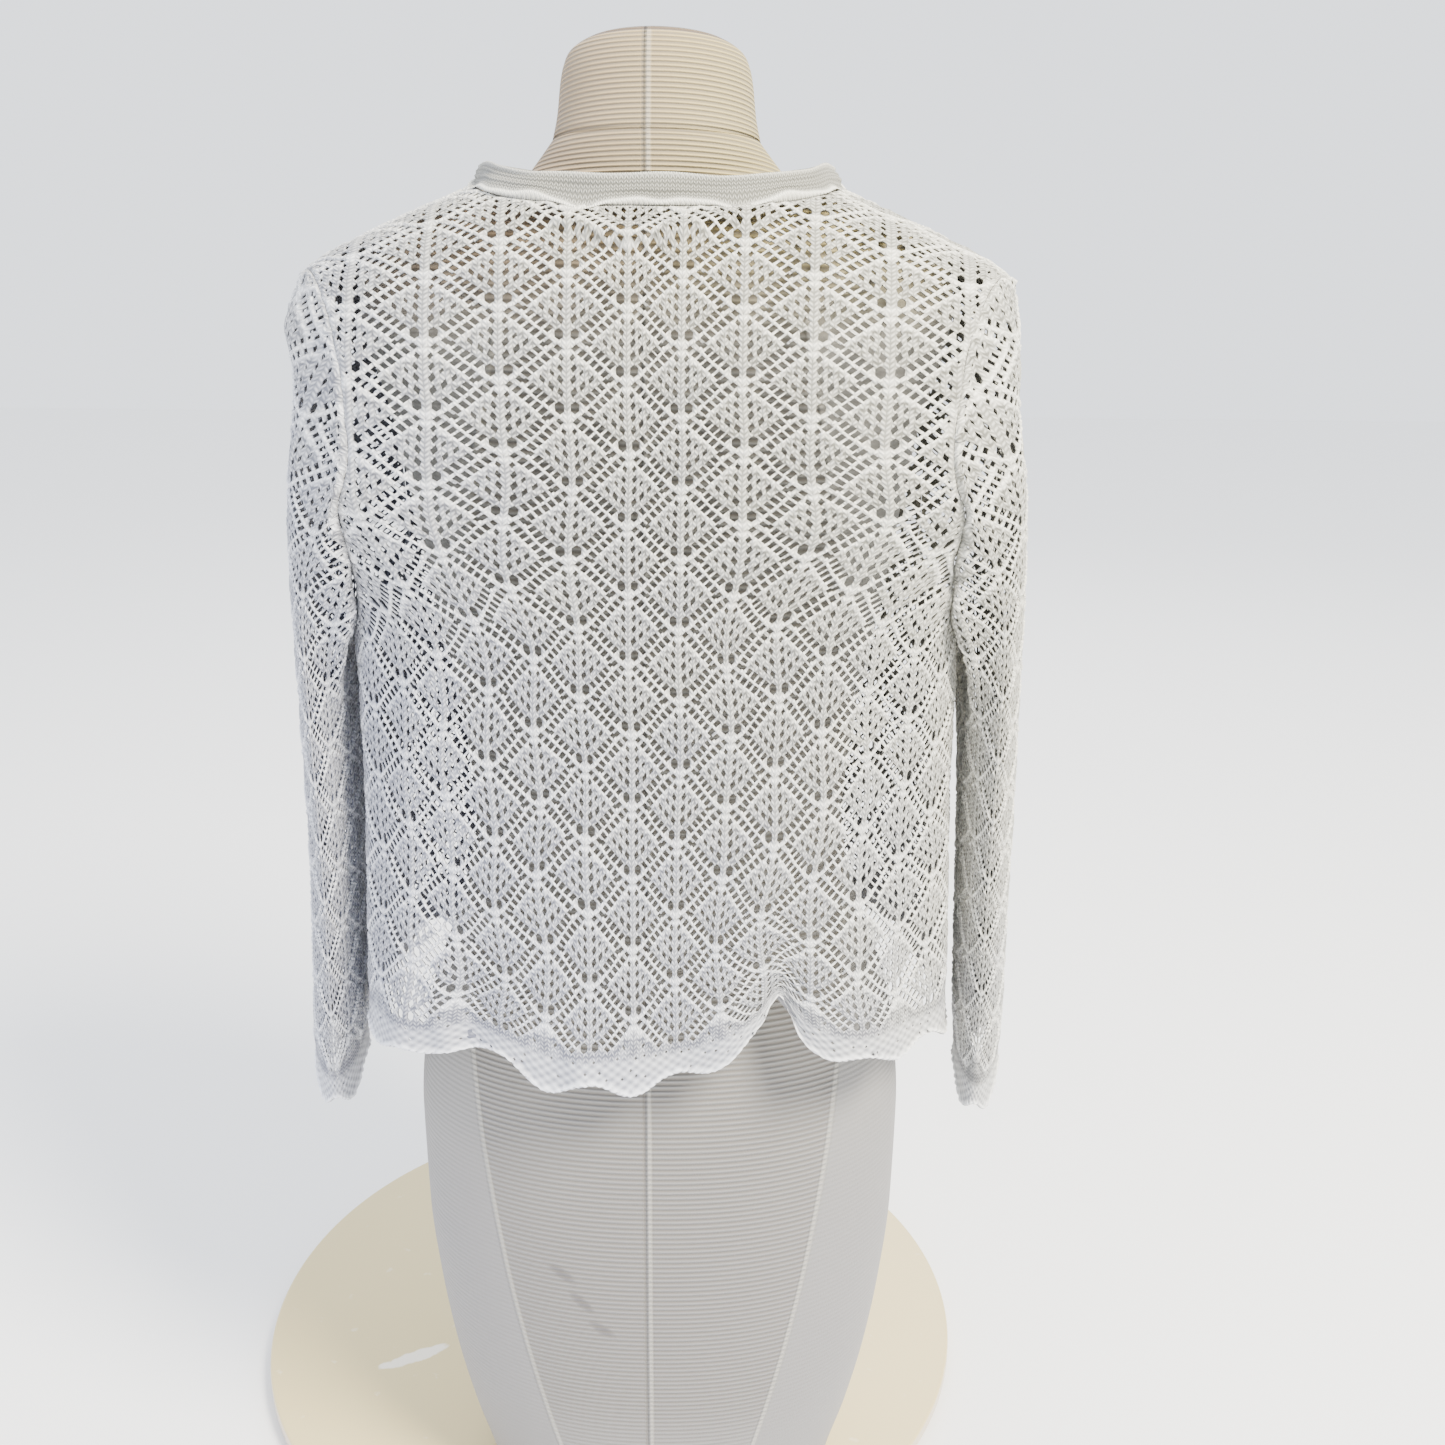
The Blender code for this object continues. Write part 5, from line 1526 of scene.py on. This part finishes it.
def form_material(name, pitch, lean):
    """Cream jersey with fine ribs, sewn down the middle and over the princess lines; grey below the neck
    and dark in its rib valleys as painted shade.
    """
    n = Nodes(name)
    place = n.place()
    x, y, z = n.split(place)
    x, y = x - FORM_X, y - FORM_Y
    ribs = n.sine((z + y * lean) * (2.0 * math.pi / pitch))
    fine = n.sine((z + y * 0.18) * (2.0 * math.pi / 0.0029))
    ribs = n.blend(n.band(z, 0.952, 0.956), ribs, fine) * 0.5 + 0.5
    centre = x + 0.006
    seam = 1.0 - n.band(abs(centre), 0.0004, 0.0014)
    lip = 1.0 - n.band(abs(centre - 0.0032), 0.0006, 0.0022)
    line = (z - 0.30) * 0.11 + 0.112 - abs(z - 0.36) ** 2.0 * 0.30 + n.band(z, 0.90, 0.95) * 0.12
    beyond = abs(x) - line
    piping = 1.0 - n.band(abs(beyond), 0.0008, 0.0026)
    rib_share = (1.0 - n.band(beyond, 0.000, 0.004) * 0.75) * n.band(z, 0.06, 0.16)
    height = ribs * rib_share * (n.noise(7.0, 2.0, place) * 0.6 + 0.55)
    height = height + lip * 0.9 - seam * 0.8 + piping * 0.9 + n.noise(900.0, 2.0, place) * 0.25
    normal = n.bump(height, 0.0013, 1.0)
    # painted shade: the cream jersey is grey below the neck, under the cardigan, and darker towards the
    # bottom
    tone = n.mix(n.band(z, 0.25, 0.60), (0.21, 0.205, 0.212), (0.26, 0.255, 0.235))
    # painted light: the neck's cream is lighter and yellower towards the right, its lit side
    cream = n.mix(n.band(x, -0.10, 0.10), (0.42, 0.285, 0.165), (0.50, 0.405, 0.155))
    tone = n.mix(n.band(z, 0.88, 0.97), tone, cream)
    tone = n.mix(n.noise(11.0, 4.0, place) * 0.22, tone, (0.30, 0.29, 0.27))
    behind = 1.0 - n.band(y, -0.05, 0.0)
    for at_x, at_z, turn in SMUDGES:
        along = (x - at_x) * math.cos(turn) - (z - at_z) * math.sin(turn)
        off = (x - at_x) * math.sin(turn) + (z - at_z) * math.cos(turn)
        spot = abs(along / 0.013) ** 2.0 + abs(off / 0.0045) ** 2.0 + n.noise(160.0, 3.0, place) * 0.9
        tone = n.mix((1.0 - n.band(spot, 0.4, 1.7)) * behind * 0.65, tone, (0.075, 0.07, 0.085))
    # painted shade in the rib valleys
    tone = n.mix((1.0 - ribs) * rib_share * 0.75, tone, (0.135, 0.12, 0.10))
    tone = n.mix(seam * 0.45, tone, (0.12, 0.11, 0.10))
    tone = n.mix(n.math("MAXIMUM", piping, lip) * 0.30, tone, (0.60, 0.58, 0.52))
    tone = n.mix(n.band(n.yarn(), 0.3, 0.7) * 0.85, tone, (0.10, 0.07, 0.055))
    return n.finish(Base_Color=tone, Normal=normal, Roughness=0.78, Specular_IOR_Level=0.25,
                    Sheen_Weight=0.10)


def base_material():
    """Satin cream paint, darker at the rim as painted shade, with one pale scuff and small specks on the
    top.
    """
    n = Nodes("cream_paint")
    place = n.place()
    x, y, z = n.split(place)
    tone = n.mix(n.noise(5.0, 3.0, place) * 0.5, (0.60, 0.49, 0.24), (0.68, 0.575, 0.31))
    dx, dy = x + 0.168, y + 0.070
    along = abs((dx * 0.88 + dy * 0.47) / 0.034) ** 2.0
    across = abs((dy * 0.88 - dx * 0.47) / 0.008) ** 2.0
    scuff = 1.0 - n.band(along + across + n.noise(90.0, 4.0, place) * 1.4, 1.2, 1.6)
    specks = n.band(n.noise(60.0, 5.0, place), 0.66, 0.74)
    # rim: painted shade on the disc's edge below its top
    rim = 1.0 - n.band(z, BASE_THICKNESS - 0.0030, BASE_THICKNESS - 0.0006)
    tone = n.mix(specks * 0.25, tone, (0.90, 0.86, 0.76))
    tone = n.mix(scuff * 0.65, tone, (0.93, 0.91, 0.86))
    tone = n.mix(rim * 0.7, tone, (0.60, 0.49, 0.41))
    return n.finish(Base_Color=tone, Roughness=0.30, Coat_Weight=0.15,
                    Normal=n.bump(n.noise(130.0, 3.0, place), 0.0003, 0.25))


def floor_material():
    """Pale matt floor."""
    n = Nodes("pale_floor")
    tone = n.mix(n.noise(1.5, 3.0, n.place()) * 0.5, (0.92, 0.92, 0.92), (0.90, 0.90, 0.91))
    return n.finish(Base_Color=tone, Roughness=0.7)


def dress(thing, look, slot, *nodes):
    """Gives a piece its material, its body and the nodes that it stands for; its slot is not used."""
    thing.data.materials.append(look)
    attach(thing, "root")
    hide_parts(*nodes)
    return thing


def light(name, at, aim, size, power, colour):
    """Round soft lamp that looks at a point."""
    data = bpy.data.lights.new(name, "AREA")
    data.shape = "DISK"
    data.size = size
    data.energy = power
    data.color = colour
    lamp = bpy.data.objects.new(name, data)
    lamp.location = at
    lamp.rotation_euler = (Vector(aim) - Vector(at)).to_track_quat("-Z", "Y").to_euler()
    bpy.context.scene.collection.objects.link(lamp)


def main():
    """Builds the pieces, the studio and the camera."""
    lace = knit_material("lace_yarn", (0.86, 0.86, 0.855), True)
    band = knit_material("band_yarn", (0.84, 0.84, 0.82), False)
    form = form_material("ribbed_jersey", 0.00395, 0.0)
    neck = form_material("ribbed_jersey_neck", 0.0029, 0.18)
    base = base_material()

    outline, hem = back_outline()
    back = dress(lace_sheet("back_lace", outline, hem, panel_place(BACK)), lace, "lace", "back")
    outline, hem = front_outline()
    front_place = panel_place(FRONT)
    right = dress(lace_sheet("front_right_lace", outline, hem, front_place, flip=True), lace, "lace",
                  "front_right")
    mirrored = outline[::-1] * np.array([-1.0, 1.0])
    mirrored = np.roll(mirrored, hem, axis=0)
    left = dress(lace_sheet("front_left_lace", mirrored, hem, front_place, flip=True), lace, "lace",
                 "front_left")
    for hand in ("right", "left"):
        sleeve = Sleeve(hand)
        outline, hem = sleeve_outline(sleeve)
        thing = lace_sheet("sleeve_%s_lace" % hand, outline, hem, sleeve.place, SLEEVE_PHASE[hand],
                           flip=hand == "right", weld=True)
        dress(thing, lace, "lace", "sleeve_" + hand)
    collar = dress(neck_band_mesh(), band, "band", "neck_band")

    dress(ring_mesh("form_torso_jersey", form_rings()), form, "form", "form_torso")
    heights = np.concatenate([np.linspace(1.001, 1.045, 12), np.linspace(1.0465, 1.0555, 9)])
    rings = [neck_ring(z, 96) for z in heights]
    dress(ring_mesh("form_neck_jersey", rings, NECK_RIM_ROWS), neck, "form", "form_neck")
    disc = ring_mesh("base_disc_paint", base_rings())
    dress(disc, base, "base", "base_disc")
    disc.data.set_sharp_from_angle(angle=math.radians(40))

    floor = bpy.data.meshes.new("floor")
    corners = ((-1, -1), (1, -1), (1, 1), (-1, 1))
    floor.from_pydata([(x * FLOOR_REACH, y * FLOOR_REACH, 0) for x, y in corners], [], [(0, 1, 2, 3)])
    ground = bpy.data.objects.new("floor", floor)
    ground.data.materials.append(floor_material())
    bpy.context.scene.collection.objects.link(ground)

    world = bpy.data.worlds.new("studio")
    bpy.context.scene.world = world
    world.use_nodes = True
    sky = world.node_tree.nodes["Background"]
    sky.inputs["Color"].default_value = (0.90, 0.94, 1.0, 1.0)
    sky.inputs["Strength"].default_value = 2.10
    for row in LIGHTS:
        light(*row)

    camera = bpy.data.cameras.new("camera")
    camera.sensor_width = 36.0
    camera.lens = CAMERA_LENS
    eye = bpy.data.objects.new("camera", camera)
    eye.matrix_world = (Matrix.Translation(CAMERA_AT)
                        @ Matrix.Rotation(math.radians(90.0 - CAMERA_PITCH), 4, "X")
                        @ Matrix.Rotation(math.radians(CAMERA_ROLL), 4, "Z"))
    bpy.context.scene.collection.objects.link(eye)
    bpy.context.scene.camera = eye


main()
